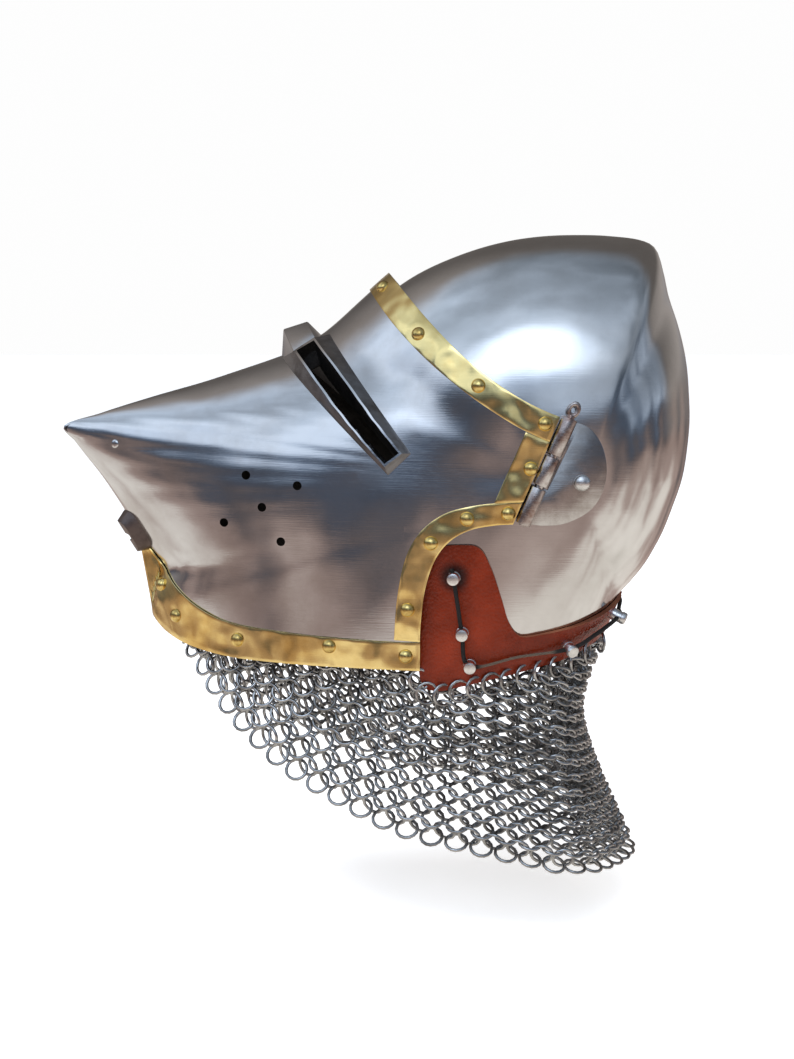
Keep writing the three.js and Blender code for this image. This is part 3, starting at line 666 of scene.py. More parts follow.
def visor_place(u, v):
    """A point of the fan; its outer points on the middle line lie on the middle plane itself."""
    column = round(u * len(visor_loop)) % len(visor_loop)
    spot = FAN_MIDDLE.lerp(visor_loop[column], 1 - (1 - v) ** FAN_CROWD)
    place = draped(visor_form, spot.x, spot.y)
    if v == 1 and (column == 0 or column >= first_middle):
        place.y = 0
    return place


bm = grid_mesh(len(visor_loop), FAN_RINGS, visor_place)
mirror_left(bm)
face_out(bm, Vector((-190, 0, 0)))
visor = to_object("visor_plate", bm)
# the inner face of the visor's wall takes the near-black inside finish, painted shade
add_wall(visor, VISOR_WALL, -1).material_offset = 1
visor_finishes = [visor_steel, inside_painted_shade, frame_steel, lip_steel]
STEEL, INSIDE_SHADE, FRAME, LIP = range(4)
coat(visor, visor_finishes)
print("visor columns:", len(visor_loop))

# %% Slot, mouth and breath places
# columns: x and z in side view
SLOT_FOOT = [(-195, 75), (-163, 91), (-109, 18), (-123.6, 4)]
SLOT_LIP = [(-183.6, 73.4), (-168.9, 82.8), (-113.2, 17.4), (-124.2, 8.9)]
SLOT_OPENING = [(-181.8, 73.6), (-169.2, 80.9), (-115, 17.6), (-124.3, 10.6)]
# corners of a near-black inner sleeve, shifted towards the front and foot of the slot; the sleeve is painted
# shade that hides the view through both slots
SLOT_SHADE_SLEEVE = [(-181.8, 73.6), (-173.4, 77.3), (-119.2, 14), (-124.3, 10.6)]
SLOT_RISE = 9
BREATHS = [(-216.8, 1.2), (-182.6, -4.3), (-206.1, -19.2), (-231.9, -30.6), (-193.6, -41.1)]
BREATH_RADIUS = 2.9
MOUTH_ANGLE = 188.3
# columns: half angle in degrees, half width
MOUTH_FOOT = (2.8, 12)
MOUTH_LIP = (2.2, 10.5)
MOUTH_OPENING = (0.5, 8.5)
MOUTH_RISE = 8.5
MOUTH_STEPS = 64
# points along a short and a long side of the slot
SLOT_STEPS = (8, 40)
# heights over the plate between which the openings are cut
SLOT_CUT = (-16, 14)
MOUTH_CUT = (-14, 14)


def slot_ring(corners, lift):
    ring = []
    for i, corner in enumerate(corners):
        following = Vector(corners[(i + 1) % 4])
        steps = SLOT_STEPS[i % 2]
        for step in range(steps):
            spot = Vector(corner).lerp(following, step / steps)
            ring.append(draped(visor_form, spot.x, spot.y, lift))
    return ring


def snout_point(degrees, y):
    radius, fullness, roundness = profile(visor_form, degrees)
    turn = math.asin(min(1, (abs(y) / VISOR_HALF_WIDTH) ** (roundness / 2)))
    return at_bearing(degrees, radius * math.cos(turn) ** (2 / fullness), y)


mouth_down = snout_point(MOUTH_ANGLE + 1, 0) - snout_point(MOUTH_ANGLE - 1, 0)
MOUTH_WAY = Vector((mouth_down.z, 0, -mouth_down.x)).normalized()


def mouth_ring(size, lift):
    half_angle, half_width = size
    ring = []
    for step in range(MOUTH_STEPS):
        way = 2 * math.pi * step / MOUTH_STEPS
        side = math.copysign(abs(math.sin(way)) ** 0.7, math.sin(way))
        rise = math.copysign(abs(math.cos(way)) ** 0.45, math.cos(way))
        ring.append(snout_point(MOUTH_ANGLE + half_angle * rise, half_width * side) + MOUTH_WAY * lift)
    return ring


# %% Ring helpers
def stand_on(base, way):
    """A move that takes the origin to base and the Z axis to a given way."""
    return Matrix.Translation(base) @ way.to_track_quat("Z", "Y").to_matrix().to_4x4()


def add_loop(bm, points):
    verts = [bm.verts.new(point) for point in points]
    return [bm.edges.new((a, b)) for a, b in zip(verts, verts[1:] + verts[:1])]


def add_sleeve(bm, rings, closed, materials=()):
    """Walls between rings of points, with end caps or joined back to the first ring."""
    loops = [add_loop(bm, ring) for ring in rings]
    pairs = list(zip(loops, loops[1:]))
    if closed:
        pairs.append((loops[-1], loops[0]))
    for i, (first, second) in enumerate(pairs):
        wall = bmesh.ops.bridge_loops(bm, edges=first + second)
        for face in wall["faces"]:
            face.material_index = materials[i] if materials else 0
    if not closed:
        for loop in (loops[0], loops[-1]):
            bmesh.ops.contextual_create(bm, geom=loop)
    bmesh.ops.recalc_face_normals(bm, faces=bm.faces)


# %% Cut the visor
bm = bmesh.new()
add_sleeve(bm, [slot_ring(SLOT_OPENING, lift) for lift in SLOT_CUT], closed=False)
for x, z in BREATHS:
    drill = Matrix.Translation((x, -70, z)) @ Matrix.Rotation(math.pi / 2, 4, "X")
    bmesh.ops.create_cone(bm, cap_ends=True, segments=28, radius1=BREATH_RADIUS, radius2=BREATH_RADIUS,
                          depth=100, matrix=drill)
mirror_left(bm)
add_sleeve(bm, [mouth_ring(MOUTH_OPENING, lift) for lift in MOUTH_CUT], closed=False)
bmesh.ops.recalc_face_normals(bm, faces=bm.faces)
cutter = to_object("visor_cutter", bm)
pierce = visor.modifiers.new("pierce", "BOOLEAN")
pierce.operation = "DIFFERENCE"
pierce.solver = "EXACT"
pierce.object = cutter
bake_modifiers(visor)
bpy.data.objects.remove(cutter)
print("visor faces:", len(visor.data.polygons))

# %% [markdown]
# ## Welded frames
# Each eye slot has a box-like frame that stands proud of the plate, so that a lance point slides
# off it. A ridged plate joins the two frames over the nose, and two plain lips guard the mouth.
# On the real visor they are strips welded on, so they are walls between rings of points and
# belong to the visor piece.

# %% Slot frames, bridge and mouth lips
BRIDGE_HALF = 25
WELD_SPOT = (-309, 17.5)
# columns: x and z of the front top, rear top, rear foot and front foot
BRIDGE_RIDGE = [(-195.2, 94.4), (-178.8, 99.6), (-165, 86), (-197, 66)]
BRIDGE_END = [(-187, 80.6), (-171.6, 88.2), (-160, 76), (-190, 60)]
bm = bmesh.new()
frame_rings = [slot_ring(SLOT_FOOT, -1.2), slot_ring(SLOT_FOOT, 0.5)]
for share in (0.35, 0.8):
    between = [Vector(a).lerp(Vector(b), share) for a, b in zip(SLOT_FOOT, SLOT_LIP)]
    frame_rings.append(slot_ring(between, 0.5 + (SLOT_RISE - 1) * share))
frame_rings += [slot_ring(SLOT_LIP, SLOT_RISE), slot_ring(SLOT_OPENING, SLOT_RISE)]
# the near-black sleeve reaches 9 mm in from the slot's opening, painted shade inside the slot
frame_rings.append(slot_ring(SLOT_SHADE_SLEEVE, -9))
add_sleeve(bm, frame_rings, closed=True, materials=(*[FRAME] * 4, STEEL, INSIDE_SHADE, INSIDE_SHADE))
mirror_left(bm)
roof = []
for y in (-BRIDGE_HALF, 0, BRIDGE_HALF):
    roof.append([Vector((x, y, z)) for x, z in (BRIDGE_END if y else BRIDGE_RIDGE)])
older_edges = set(bm.edges)
add_sleeve(bm, roof, closed=False)
# the bridge's ends take the near-black inside finish, painted shade
for face in bm.faces:
    if not older_edges.intersection(face.edges):
        face.material_index = INSIDE_SHADE if abs(face.normal.y) > 0.9 else STEEL
round_edges(bm, [edge for edge in bm.edges if edge not in older_edges], 0.7)
# columns: size of the ring, height over the plate
MOUTH_RINGS = [(MOUTH_FOOT, -4), (MOUTH_FOOT, 0.4), (MOUTH_LIP, MOUTH_RISE), (MOUTH_OPENING, MOUTH_RISE),
               (MOUTH_OPENING, -5)]
# the inner walls of the mouth take the near-black inside finish, painted shade
add_sleeve(bm, [mouth_ring(*ring) for ring in MOUTH_RINGS], closed=True,
           materials=(LIP, LIP, LIP, INSIDE_SHADE, INSIDE_SHADE))
weld_turn = stand_on(draped(visor_form, *WELD_SPOT), left_normal(visor_form, *WELD_SPOT))
bmesh.ops.create_uvsphere(bm, u_segments=20, v_segments=10, radius=1,
                          matrix=weld_turn @ Matrix.Diagonal((3, 3, 0.9, 1)))
bmesh.ops.recalc_face_normals(bm, faces=bm.faces)
frames = to_object("visor_frames", bm)
coat(frames, visor_finishes)
with bpy.context.temp_override(active_object=visor, selected_editable_objects=[visor, frames]):
    bpy.ops.object.join()
dress(visor, visor_finishes, "visor", ["visor"])

# %% [markdown]
# ## Brass edging
# Thin brass strip runs along the brow, round the cheek cut-outs, along the rim and up beside the
# hinges. It was hammered down onto the steel, so it has shallow dents that catch the light. Each
# strip is a ribbon between two lines drawn in side view and laid on the visor's form a hair above
# the plate. The brow and chin strips cross the middle, so their left halves are mirrored.

# %% Strip lines
BROW_FRONT = [(-134.8, 118.6), (-119.2, 98.1), (-96.5, 75.1), (-71, 54.8), (-45.9, 38.4), (-31, 30.6),
              (-21.5, 26.2)]
CHEEK_FRONT = [(-38, -11.8), (-65, -13.9), (-87.3, -19.8), (-103.2, -32.2), (-112.7, -49.8), (-117.9, -76.2),
               (-119.8, -103.6)]
CHIN_TOP = [(-102.9, -103.9), (-119.8, -104), (-148.5, -102.9), (-195, -100.6), (-229, -97.6), (-250.4, -90),
            (-267.3, -78.4), (-277.8, -66)]
CHEEK_FOOT = -103.4
STRIP_GAP = 0.35
STRIP_THICK = 0.9
STRIP_BEVEL = 0.22
DENT = 0.3
# columns: layer of the noise, its scale, its share
DENT_LAYERS = [(3, 0.05, 1), (9, 0.11, 0.5)]


def to_middle(line):
    """Carry a line on past its last point until it meets the middle of the form."""
    ahead = (line[-1] - line[-2]).normalized()
    line = [*line, *(line[-1] + ahead * step for step in range(1, 30))]
    kept = []
    for point in line:
        radius = profile(visor_form, bearing(point))[0]
        if point.length >= radius:
            kept.append(point * (radius / point.length))
            return kept
        kept.append(point)
    return kept


def ribbon(form, first, second, size, lift, crowd=1, dent=0):
    """A band between two side-view lines; with crowd over 1 it ends on the middle of the form."""
    def place(u, v):
        share = 1 - (1 - u) ** crowd
        spot = along(first, share).lerp(along(second, share), v)
        if crowd > 1 and u > 0.9999:
            outward = Vector((spot.x, 0, spot.y)).normalized()
            return outward * (profile(form, bearing(spot))[0] + lift)
        lumps = 1
        for layer, scale, part in DENT_LAYERS:
            lumps += part * noise.noise(Vector((*spot, layer)) * scale)
        return draped(form, spot.x, spot.y, lift + dent * lumps * min(1, 12 * (1 - u)))

    return grid_mesh(*size, place)


# %% Lay the strips
HINGE_BOTTOM = Vector((-37.8, -98.9, -26.1))
HINGE_UP = Vector((29.6, 0, 68.1)).normalized()
HINGE_FRONT = Vector((-HINGE_UP.z, 0, HINGE_UP.x))


def hinge_spot(length, front):
    """Side-view point at a length along the hinge line and a distance in front of it."""
    return (HINGE_BOTTOM + HINGE_UP * length + HINGE_FRONT * front).xz


def finish_strip(name, bm, inside, node):
    face_out(bm, Vector(inside))
    piece = to_object(name, bm)
    add_wall(piece, STRIP_THICK, 1, STRIP_BEVEL)
    bake_modifiers(piece)
    dress(piece, [brass], "visor", [node])


brow_lines = [smooth(edge, 60)[::-1] for edge in (BROW_EDGE, BROW_FRONT)]
chin_lines = [smooth(edge, 60) for edge in (RIM_EDGE, CHIN_TOP)]
for name, lines, node in (("brow_trim", brow_lines, "brow_band"), ("chin_trim", chin_lines, "chin_band")):
    whole_lines = [spaced(to_middle(line), 200) for line in lines]
    bm = ribbon(visor_form, *whole_lines, (100, 10), STRIP_GAP, crowd=1.8, dent=DENT)
    mirror_left(bm)
    finish_strip(name, bm, (-150, 0, 0), node)

# %% Cheek and side strips
cheek_back = [point for point in smooth(CHEEK_EDGE, 80) if point.y > CHEEK_FOOT]
cheek_back.append(Vector((-102.9, CHEEK_FOOT)))
cheek_front = [point for point in smooth(CHEEK_FRONT, 80) if point.y > CHEEK_FOOT]
side_back = [hinge_spot(13.2, 5.6), hinge_spot(54.6, 5.6)]
side_front = [hinge_spot(5.2, 22), hinge_spot(54.4, 22)]
# columns: piece, node, its two lines, columns of the grid, lift
SIDE_TRIMS = [
    ("cheek_trim", "cheek_strip", spaced(cheek_back, 200), spaced(cheek_front, 200), 80, STRIP_GAP),
    ("side_trim", "side_strip", side_back, side_front, 24, STRIP_GAP + 1.1),
]
for name, node, back, front, count, lift in SIDE_TRIMS:
    for side, sign in (("left", 1), ("right", -1)):
        bm = ribbon(visor_form, back, front, (count, 10), lift, dent=DENT)
        bmesh.ops.scale(bm, vec=(1, sign, 1), verts=bm.verts)
        finish_strip(f"{name}_{side}", bm, (-150, 500 * sign, 0), f"{node}_{side}")

# %% Domed brass rivets
# columns: x and z in side view
RIVET_PLACES = {
    "brow_rivet": [(-126.6, 122.1), (-103.5, 92.8), (-66, 61.4), (-24, 37.9)],
    "side_rivet": [(-32.9, 9.6)],
    "cheek_rivet": [(-47, -19.2), (-73.2, -22.9), (-96.1, -38.7), (-111, -82.1)],
    "chin_rivet": [(-112.2, -112.9), (-161.7, -108), (-223.1, -108.6), (-267, -98), (-278.2, -79.5)],
}
RIVET_RADIUS = 4.6
RIVET_HEIGHT = 3.4


def add_spun(bm, outline, base, normal):
    """Turn an outline of radius and height pairs about a normal, as on a lathe."""
    older = set(bm.verts)
    verts = [bm.verts.new((radius, 0, height)) for radius, height in outline]
    edges = [bm.edges.new(pair) for pair in zip(verts, verts[1:])]
    bmesh.ops.spin(bm, geom=verts + edges, cent=(0, 0, 0), axis=(0, 0, 1), angle=2 * math.pi, steps=24,
                   use_merge=True)
    turned = [vert for vert in bm.verts if vert not in older]
    bmesh.ops.transform(bm, matrix=stand_on(base, normal), verts=turned)
    bmesh.ops.remove_doubles(bm, verts=turned, dist=0.005)


def dome_outline(radius, height):
    turns = [i * math.pi / 14 for i in range(7)]
    arc = [(radius * math.cos(turn), height * math.sin(turn)) for turn in turns]
    return [(radius * 0.97, -1.6), (radius * 1.02, -0.1), *arc, (0, height)]


for name, places in RIVET_PLACES.items():
    rise = 1.6 if name == "side_rivet" else 0.4
    bm = bmesh.new()
    for x, z in places:
        base = draped(visor_form, x, z, STRIP_GAP + STRIP_THICK + rise)
        add_spun(bm, dome_outline(RIVET_RADIUS, RIVET_HEIGHT), base, left_normal(visor_form, x, z))
    mirror_left(bm)
    bmesh.ops.recalc_face_normals(bm, faces=bm.faces)
    domes = to_object(f"{name}_domes", bm)
    nodes = [f"{name}_{i + 1}_{side}" for i in range(len(places)) for side in ("left", "right")]
    dress(domes, [brass_dome], "visor", nodes)

# %% [markdown]
# ## Hinges and pins
# Each side has a three-knuckle hinge. Its rear leaf is a D-shaped plate on the pivot rivet, its
# front leaf goes under the brass, and a looped pin holds them together and lifts out to take the
# visor off. The knuckles are bare steel that has begun to rust. Plates start as one face from an
# outline, which is extruded and bevelled; round work is turned or made from bevelled cylinders.

# %% Rod and plate helpers
ROD_SIDES = 28


def add_rod(bm, start, end, radius, edge, material=0):
    """A round rod with softened ends."""
    older = set(bm.faces)
    bmesh.ops.create_cone(bm, cap_ends=True, segments=ROD_SIDES, radius1=radius, radius2=radius,
                          depth=(end - start).length, matrix=stand_on((start + end) / 2, end - start))
    caps = [face for face in bm.faces if face not in older and len(face.verts) == ROD_SIDES]
    round_edges(bm, [rim for face in caps for rim in face.edges], edge)
    for face in bm.faces:
        if face not in older:
            face.material_index = material


def add_plate(bm, outline, depth, thick, edge):
    """A flat plate facing -Y from a side-view outline."""
    face = bm.faces.new([bm.verts.new((x, -depth, z)) for x, z in outline])
    raised = bmesh.ops.extrude_face_region(bm, geom=[face])["geom"]
    top = [item for item in raised if isinstance(item, bmesh.types.BMVert)]
    bmesh.ops.translate(bm, vec=(0, -thick, 0), verts=top)
    round_edges(bm, [item for item in raised if isinstance(item, bmesh.types.BMEdge)], edge)


# %% Hinge leaves
LEAF_BACK = [(-6.9, 39), (4.2, 35), (12.4, 24), (15.6, 9), (13.4, -5.5), (4.9, -18.2), (-10.9, -26.3),
             (-26, -27.6)]
# places along the hinge line and in front of it
LEAF_NOTCH = [(0.3, 0), (26, 0), (26, -6), (48, -6), (48, 0), (73.7, 0)]
LEAF_DEPTH = 93.5
LEAF_THICK = 1.5
KNUCKLE_RADIUS = 5
# columns: start and end along the hinge line
KNUCKLES = {"lower": (0, 25.4), "middle": (27.2, 46.8), "upper": (48.6, 74)}
TONGUE = (27.2, 46.8)
TONGUE_REACH = 19
PIN_RADIUS = 2.5
PIN_SPAN = (-1, 76)
EYE_RADIUS = 2.9
EYE_WIRE = 1.25
EYE_STRETCH = 1.35
EYE_PLACE = 79.5


def on_hinge(length):
    return HINGE_BOTTOM + HINGE_UP * length


def add_knuckle(bm, span):
    start, end = KNUCKLES[span]
    add_rod(bm, on_hinge(start), on_hinge(end), KNUCKLE_RADIUS, edge=0.6, material=1)


def keep_pair(name, build, finishes, body, node):
    for side, sign in (("left", 1), ("right", -1)):
        bm = build()
        bmesh.ops.scale(bm, vec=(1, sign, 1), verts=bm.verts)
        bmesh.ops.recalc_face_normals(bm, faces=bm.faces)
        dress(to_object(f"{name}_{side}", bm), finishes, body.format(side), [f"{node}_{side}"])


def build_rear_leaf():
    bm = bmesh.new()
    notch = [hinge_spot(*spot) for spot in LEAF_NOTCH]
    add_plate(bm, smooth(LEAF_BACK, 40) + notch, LEAF_DEPTH, LEAF_THICK, 0.35)
    add_knuckle(bm, "lower")
    add_knuckle(bm, "upper")
    return bm


def build_front_leaf():
    sides = [[hinge_spot(length, front) for length in TONGUE] for front in (0, TONGUE_REACH)]
    bm = ribbon(visor_form, *sides, (12, 12), STRIP_GAP)
    bmesh.ops.solidify(bm, geom=bm.faces[:], thickness=-STRIP_THICK)
    add_knuckle(bm, "middle")
    return bm


def build_pin():
    """A rod with an oval eye of wire at its upper end."""
    bm = bmesh.new()
    add_rod(bm, *(on_hinge(length) for length in PIN_SPAN), PIN_RADIUS, edge=0.7)
    older = set(bm.verts)
    middle = (EYE_RADIUS, 0, 0)
    upright = Matrix.Rotation(math.pi / 2, 3, "X")
    start = Matrix.Translation(middle)
    wire = bmesh.ops.create_circle(bm, segments=12, radius=EYE_WIRE, matrix=start)["verts"]
    edges = list({edge for vert in wire for edge in vert.link_edges})
    bmesh.ops.rotate(bm, verts=wire, cent=middle, matrix=upright)
    bmesh.ops.spin(bm, geom=wire + edges, cent=(0, 0, 0), axis=(0, 0, 1), angle=2 * math.pi, steps=28,
                   use_merge=True)
    eye = [vert for vert in bm.verts if vert not in older]
    bmesh.ops.scale(bm, vec=(1, EYE_STRETCH, 1), verts=eye)
    lean = Vector((0, 0, 1)).rotation_difference(HINGE_UP).to_matrix()
    for turn in (upright, lean):
        bmesh.ops.rotate(bm, verts=eye, cent=(0, 0, 0), matrix=turn)
    bmesh.ops.translate(bm, verts=eye, vec=on_hinge(EYE_PLACE))
    return bm


def build_pivot():
    bm = bmesh.new()
    base = Vector((0, -LEAF_DEPTH - LEAF_THICK - 0.4, 0))
    add_spun(bm, dome_outline(5.2, 3), base, Vector((0, -1, 0)))
    return bm


keep_pair("rear_hinge", build_rear_leaf, [leaf_steel, hinge_steel], "visor", "rear_leaf")
keep_pair("front_hinge", build_front_leaf, [leaf_steel, hinge_steel], "visor", "front_leaf")
keep_pair("looped_pin", build_pin, [hinge_steel], "pin_{}", "hinge_pin")
keep_pair("pivot_dome", build_pivot, [post_steel], "helmet", "pivot_rivet")

# %% [markdown]
# ## Posts and lace
# Ten steel posts stand through the leather, and a lace from post to post holds it down. On the
# real helmet the posts are drilled across; here the lace runs into the steel, which looks the
# same from outside. The posts are turned on a lathe, so they are spun. The lace is a black, waxed
# tube with a thinner brown run between the third and fourth posts.

# %% Posts
POSTS = [(-80.7, -61.2), (-75.3, -97.2), (-70.6, -118.1), (-9.3, -106.5), (23.5, -92.8)]
LACE_RISE = 8.2
# columns: radius, height
POST_OUTLINE = [(4.0, 0.3), (4.2, 1), (4.2, 6.2), (3.9, 6.5), (3.9, 9.9), (4.2, 10.2), (4.2, 12.2),
                (3.8, 13.1), (2.6, 13.5), (0, 13.5)]


def post_builder(x, z):
    def build():
        bm = bmesh.new()
        add_spun(bm, POST_OUTLINE, draped(skull_form, x, z), left_normal(skull_form, x, z))
        return bm

    return build


for i, (x, z) in enumerate(POSTS):
    name = f"post_{i + 1}"
    keep_pair(f"turned_{name}", post_builder(x, z), [post_steel], "helmet", name)

# %% Lace route
def between_posts(i, lift):
    middle = (draped(skull_form, *POSTS[i], 0.3) + draped(skull_form, *POSTS[i + 1], 0.3)) / 2
    return draped(skull_form, middle.x, middle.z, lift)


eyes = [draped(skull_form, x, z, LACE_RISE) for x, z in POSTS]
lace_tip = draped(skull_form, -82, -55, LACE_RISE - 0.4)
half_route = [lace_tip, eyes[0], between_posts(0, 7.4), eyes[1], eyes[2], between_posts(2, 5.4), eyes[3],
              between_posts(3, 7.2), eyes[4], draped(skull_form, 28, -91.5, 5.4)]
other_half = [Vector((point.x, -point.y, point.z)) for point in reversed(half_route)]
lace_route = spaced(smooth([*half_route, Vector((36.6, 0, -91.5)), *other_half], 600), 480)
LACE_RADIUS = 1.4
THIN_RADIUS = 0.9
# the thin run lies between these two x, below this z, and fades over this length
THIN_FRONT, THIN_BACK, THIN_TOP, THIN_FADE = -66, -14, -100, 4


def thin_share(spot):
    """One in the run between the third and fourth posts, on both sides."""
    ends = (spot.x - THIN_FRONT, THIN_BACK - spot.x)
    front, back = (min(1, max(0, room / THIN_FADE)) for room in ends)
    return front * back if spot.z < THIN_TOP else 0


def lace_place(u, v):
    spot = along(lace_route, u)
    after, before = (along(lace_route, min(1, max(0, u + step))) for step in (0.002, -0.002))
    ahead = (after - before).normalized()
    outward = (spot - Vector((-30, 0, spot.z))).normalized()
    side = ahead.cross(outward).normalized()
    outward = side.cross(ahead)
    radius = LACE_RADIUS + (THIN_RADIUS - LACE_RADIUS) * thin_share(spot)
    turn = 2 * math.pi * v
    return spot + (outward * math.cos(turn) + side * math.sin(turn)) * radius


bm = grid_mesh(480, 12, lace_place)
bmesh.ops.remove_doubles(bm, verts=bm.verts, dist=0.005)
bmesh.ops.holes_fill(bm, edges=[edge for edge in bm.edges if edge.is_boundary], sides=12)
bmesh.ops.recalc_face_normals(bm, faces=bm.faces)
lace = to_object("waxed_lace", bm)
print("lace length", round(running_lengths(lace_route)[-1]), "mm")

# %% Lace finish
def lace_finish():
    finish, tree, shader = new_finish("waxed_lace")
    shader.inputs["Roughness"].default_value = 0.7
    shader.inputs["Specular IOR Level"].default_value = 0.25
    lay = add_node(tree, "ShaderNodeUVMap", uv_map="lay")
    plait = add_node(tree, "ShaderNodeMapping", {"Scale": (210, 2, 1), "Rotation": (0, 0, 0.5)})
    strands = add_node(tree, "ShaderNodeTexWave", {"Scale": 1.0, "Distortion": 0.4, "Detail": 1.0})
    bump = add_node(tree, "ShaderNodeBump", {"Strength": 0.7, "Distance": BUMP_DISTANCE})
    tones = ramp_node(tree, [(0.2, (0.006, 0.005, 0.005)), (0.9, (0.035, 0.03, 0.027))])
    brown = ramp_node(tree, [(0.2, (0.05, 0.034, 0.024)), (0.9, (0.21, 0.16, 0.12))])
    tone_shift = add_node(tree, "ShaderNodeAttribute", attribute_name="thin_run")
    mix = add_node(tree, "ShaderNodeMix", data_type="RGBA")
    join(tree, (lay, 0, plait, "Vector"), (plait, 0, strands, "Vector"))
    for node, entry in ((bump, "Height"), (tones, 0), (brown, 0)):
        join(tree, (strands, "Fac", node, entry))
    join(tree, (tone_shift, "Fac", mix, "Factor"), (tones, 0, mix, 6), (brown, 0, mix, 7),
         (mix, 2, shader, "Base Color"), (bump, 0, shader, "Normal"))
    return finish


thin_run = lace.data.attributes.new("thin_run", "FLOAT", "POINT")
for vert, value in zip(lace.data.vertices, thin_run.data):
    value.value = thin_share(vert.co / MM)
dress(lace, [lace_finish()], "helmet", ["lace"])

# %% [markdown]
# ## Leather band
# A chestnut leather band carries the mail. It has a tall lobe behind each cheek and a narrow strap
# round the nape. It is cut from one flat hide and pressed against the skull, so it is a ribbon
# between a top and a bottom line laid on the skull's form, with a wall outwards. Its cut edge is
# raw, so the rim of the wall has a paler finish than the dyed face.

# %% Leather finishes
TOP_POST = Vector([abs(part) * MM for part in draped(skull_form, *POSTS[0], 2)])


def leather_finish(name, dark, light, rough, grain_depth):
    finish, tree, shader = new_finish(name)
    shader.inputs["Specular IOR Level"].default_value = 0.24
    coords = add_node(tree, "ShaderNodeTexCoord")
    grain = add_node(tree, "ShaderNodeTexVoronoi", {"Scale": 620.0}, feature="SMOOTH_F1")
    clouds = add_node(tree, "ShaderNodeTexNoise", {"Scale": 22.0, "Detail": 6.0, "Roughness": 0.58})
    creases = add_node(tree, "ShaderNodeTexNoise", {"Scale": 160.0, "Detail": 4.0})
    tones = ramp_node(tree, [(0.32, dark), (0.68, light)])
    # the dyed face turns darker within about 5 to 13 mm of the top post, on both sides
    either_side = add_node(tree, "ShaderNodeVectorMath", operation="ABSOLUTE")
    from_post = add_node(tree, "ShaderNodeVectorMath", operation="DISTANCE", inputs={1: TOP_POST})
    darker_near_post = range_node(tree, 0.005, 0.013, 0.9, 0.0)
    tone_shift = add_node(tree, "ShaderNodeMix", {7: (0.012, 0.005, 0.004, 1)}, data_type="RGBA")
    gloss = range_node(tree, 0.3, 0.7, rough - 0.08, rough + 0.14, soft=False)
    height = add_node(tree, "ShaderNodeMath", operation="MULTIPLY_ADD", inputs={1: 0.7})
    bump = add_node(tree, "ShaderNodeBump", {"Strength": grain_depth, "Distance": BUMP_DISTANCE})
    for node in (grain, clouds, creases):
        join(tree, (coords, "Object", node, "Vector"))
    join(tree, (coords, "Object", either_side, 0), (either_side, 0, from_post, 0),
         (from_post, "Value", darker_near_post, "Value"), (darker_near_post, 0, tone_shift, "Factor"), (clouds, "Fac", tones, 0),
         (tones, 0, tone_shift, 6), (tone_shift, 2, shader, "Base Color"))
    join(tree, (clouds, "Fac", gloss, "Value"), (gloss, 0, shader, "Roughness"), (creases, "Fac", height, 0),
         (grain, "Distance", height, 2), (height, 0, bump, "Height"), (bump, 0, shader, "Normal"))
    return finish


dyed = leather_finish("dyed_leather", (0.1, 0.009, 0.0015), (0.24, 0.023, 0.003), 0.27, 0.7)
cut_edge = leather_finish("cut_leather_edge", (0.16, 0.045, 0.02), (0.33, 0.13, 0.065), 0.75, 0.6)

# %% Leather shape
# Matching places along the two edges, as x and z
LEATHER_TOP = [(-106, -47), (-98, -43), (-77.6, -40.5), (-64.8, -42.5), (-57, -56.2), (-50.3, -76.1),
               (-45.6, -91), (-38.5, -99.6), (-25.4, -98.9), (-5, -94.9), (13, -90), (24, -87.5),
               (36, -85.5)]
LEATHER_BOTTOM = [(-104.5, -110), (-101, -133), (-90, -137), (-79, -134.4), (-70.4, -132.4), (-62, -130.1),
                  (-54, -128), (-45, -125.7), (-28, -121.5), (-10, -116.9), (4, -112), (14, -108.8),
                  (25, -105.6)]
LEATHER_LIFT = 0.4
LEATHER_THICK = 2.8
leather_edges = [smooth(edge, 300) for edge in (LEATHER_TOP, LEATHER_BOTTOM)]
bm = ribbon(skull_form, *leather_edges, (170, 30), LEATHER_LIFT, crowd=1.4)
mirror_left(bm)
face_out(bm, Vector((-30, 0, -90)))
leather = to_object("leather_curtain_band", bm)
coat(leather, [dyed, cut_edge])
add_wall(leather, LEATHER_THICK, 1).material_offset_rim = 1
bake_modifiers(leather)
dress(leather, [dyed, cut_edge], "helmet", ["leather_band"])

# %% [markdown]
# ## Mail curtain
# The curtain is butted wire rings, each linked through two rings above and two below. One ring is
# turned from a small circle and copied along rows that run parallel to the hem. Rings of one row
# all lean one way and those of the next row lean the other way, half a ring along, which is what
# makes the links lie in the real pattern. All rings are joined in one mesh.

# %% Curtain surface
# columns: x, y and z of the top edge, of mid height, and of the hem, from the chin to the nape
MAIL_ROWS = [
    ((-262, 0, -94), (-263, 0, -108), (-263, 0, -122)),
    ((-250, -22, -96), (-250, -23, -117), (-250, -24, -138)),
    ((-226, -40, -98), (-227, -42, -131), (-229, -44, -164)),
    ((-190, -56, -101), (-192, -60, -148), (-196, -65, -193)),
    ((-152, -68, -107), (-155, -73, -163), (-160, -79, -213)),
    ((-118, -76.5, -119), (-123, -81, -176), (-127, -87, -229)),
    ((-97, -85, -141.4), (-96, -86, -190), (-99, -93, -238)),
    ((-58, -87.5, -132.9), (-57, -86, -188), (-60, -97, -246)),
    ((-14, -79, -121.6), (-16, -74, -178), (-10, -92, -259)),
    ((10, -52, -114.4), (0, -50, -172), (22, -62, -266)),
    ((24.5, 0, -109.8), (6, 0, -170), (45, 0, -271)),
]
other_rows = [[(x, -y, z) for x, y, z in row] for row in MAIL_ROWS[-2:0:-1]]
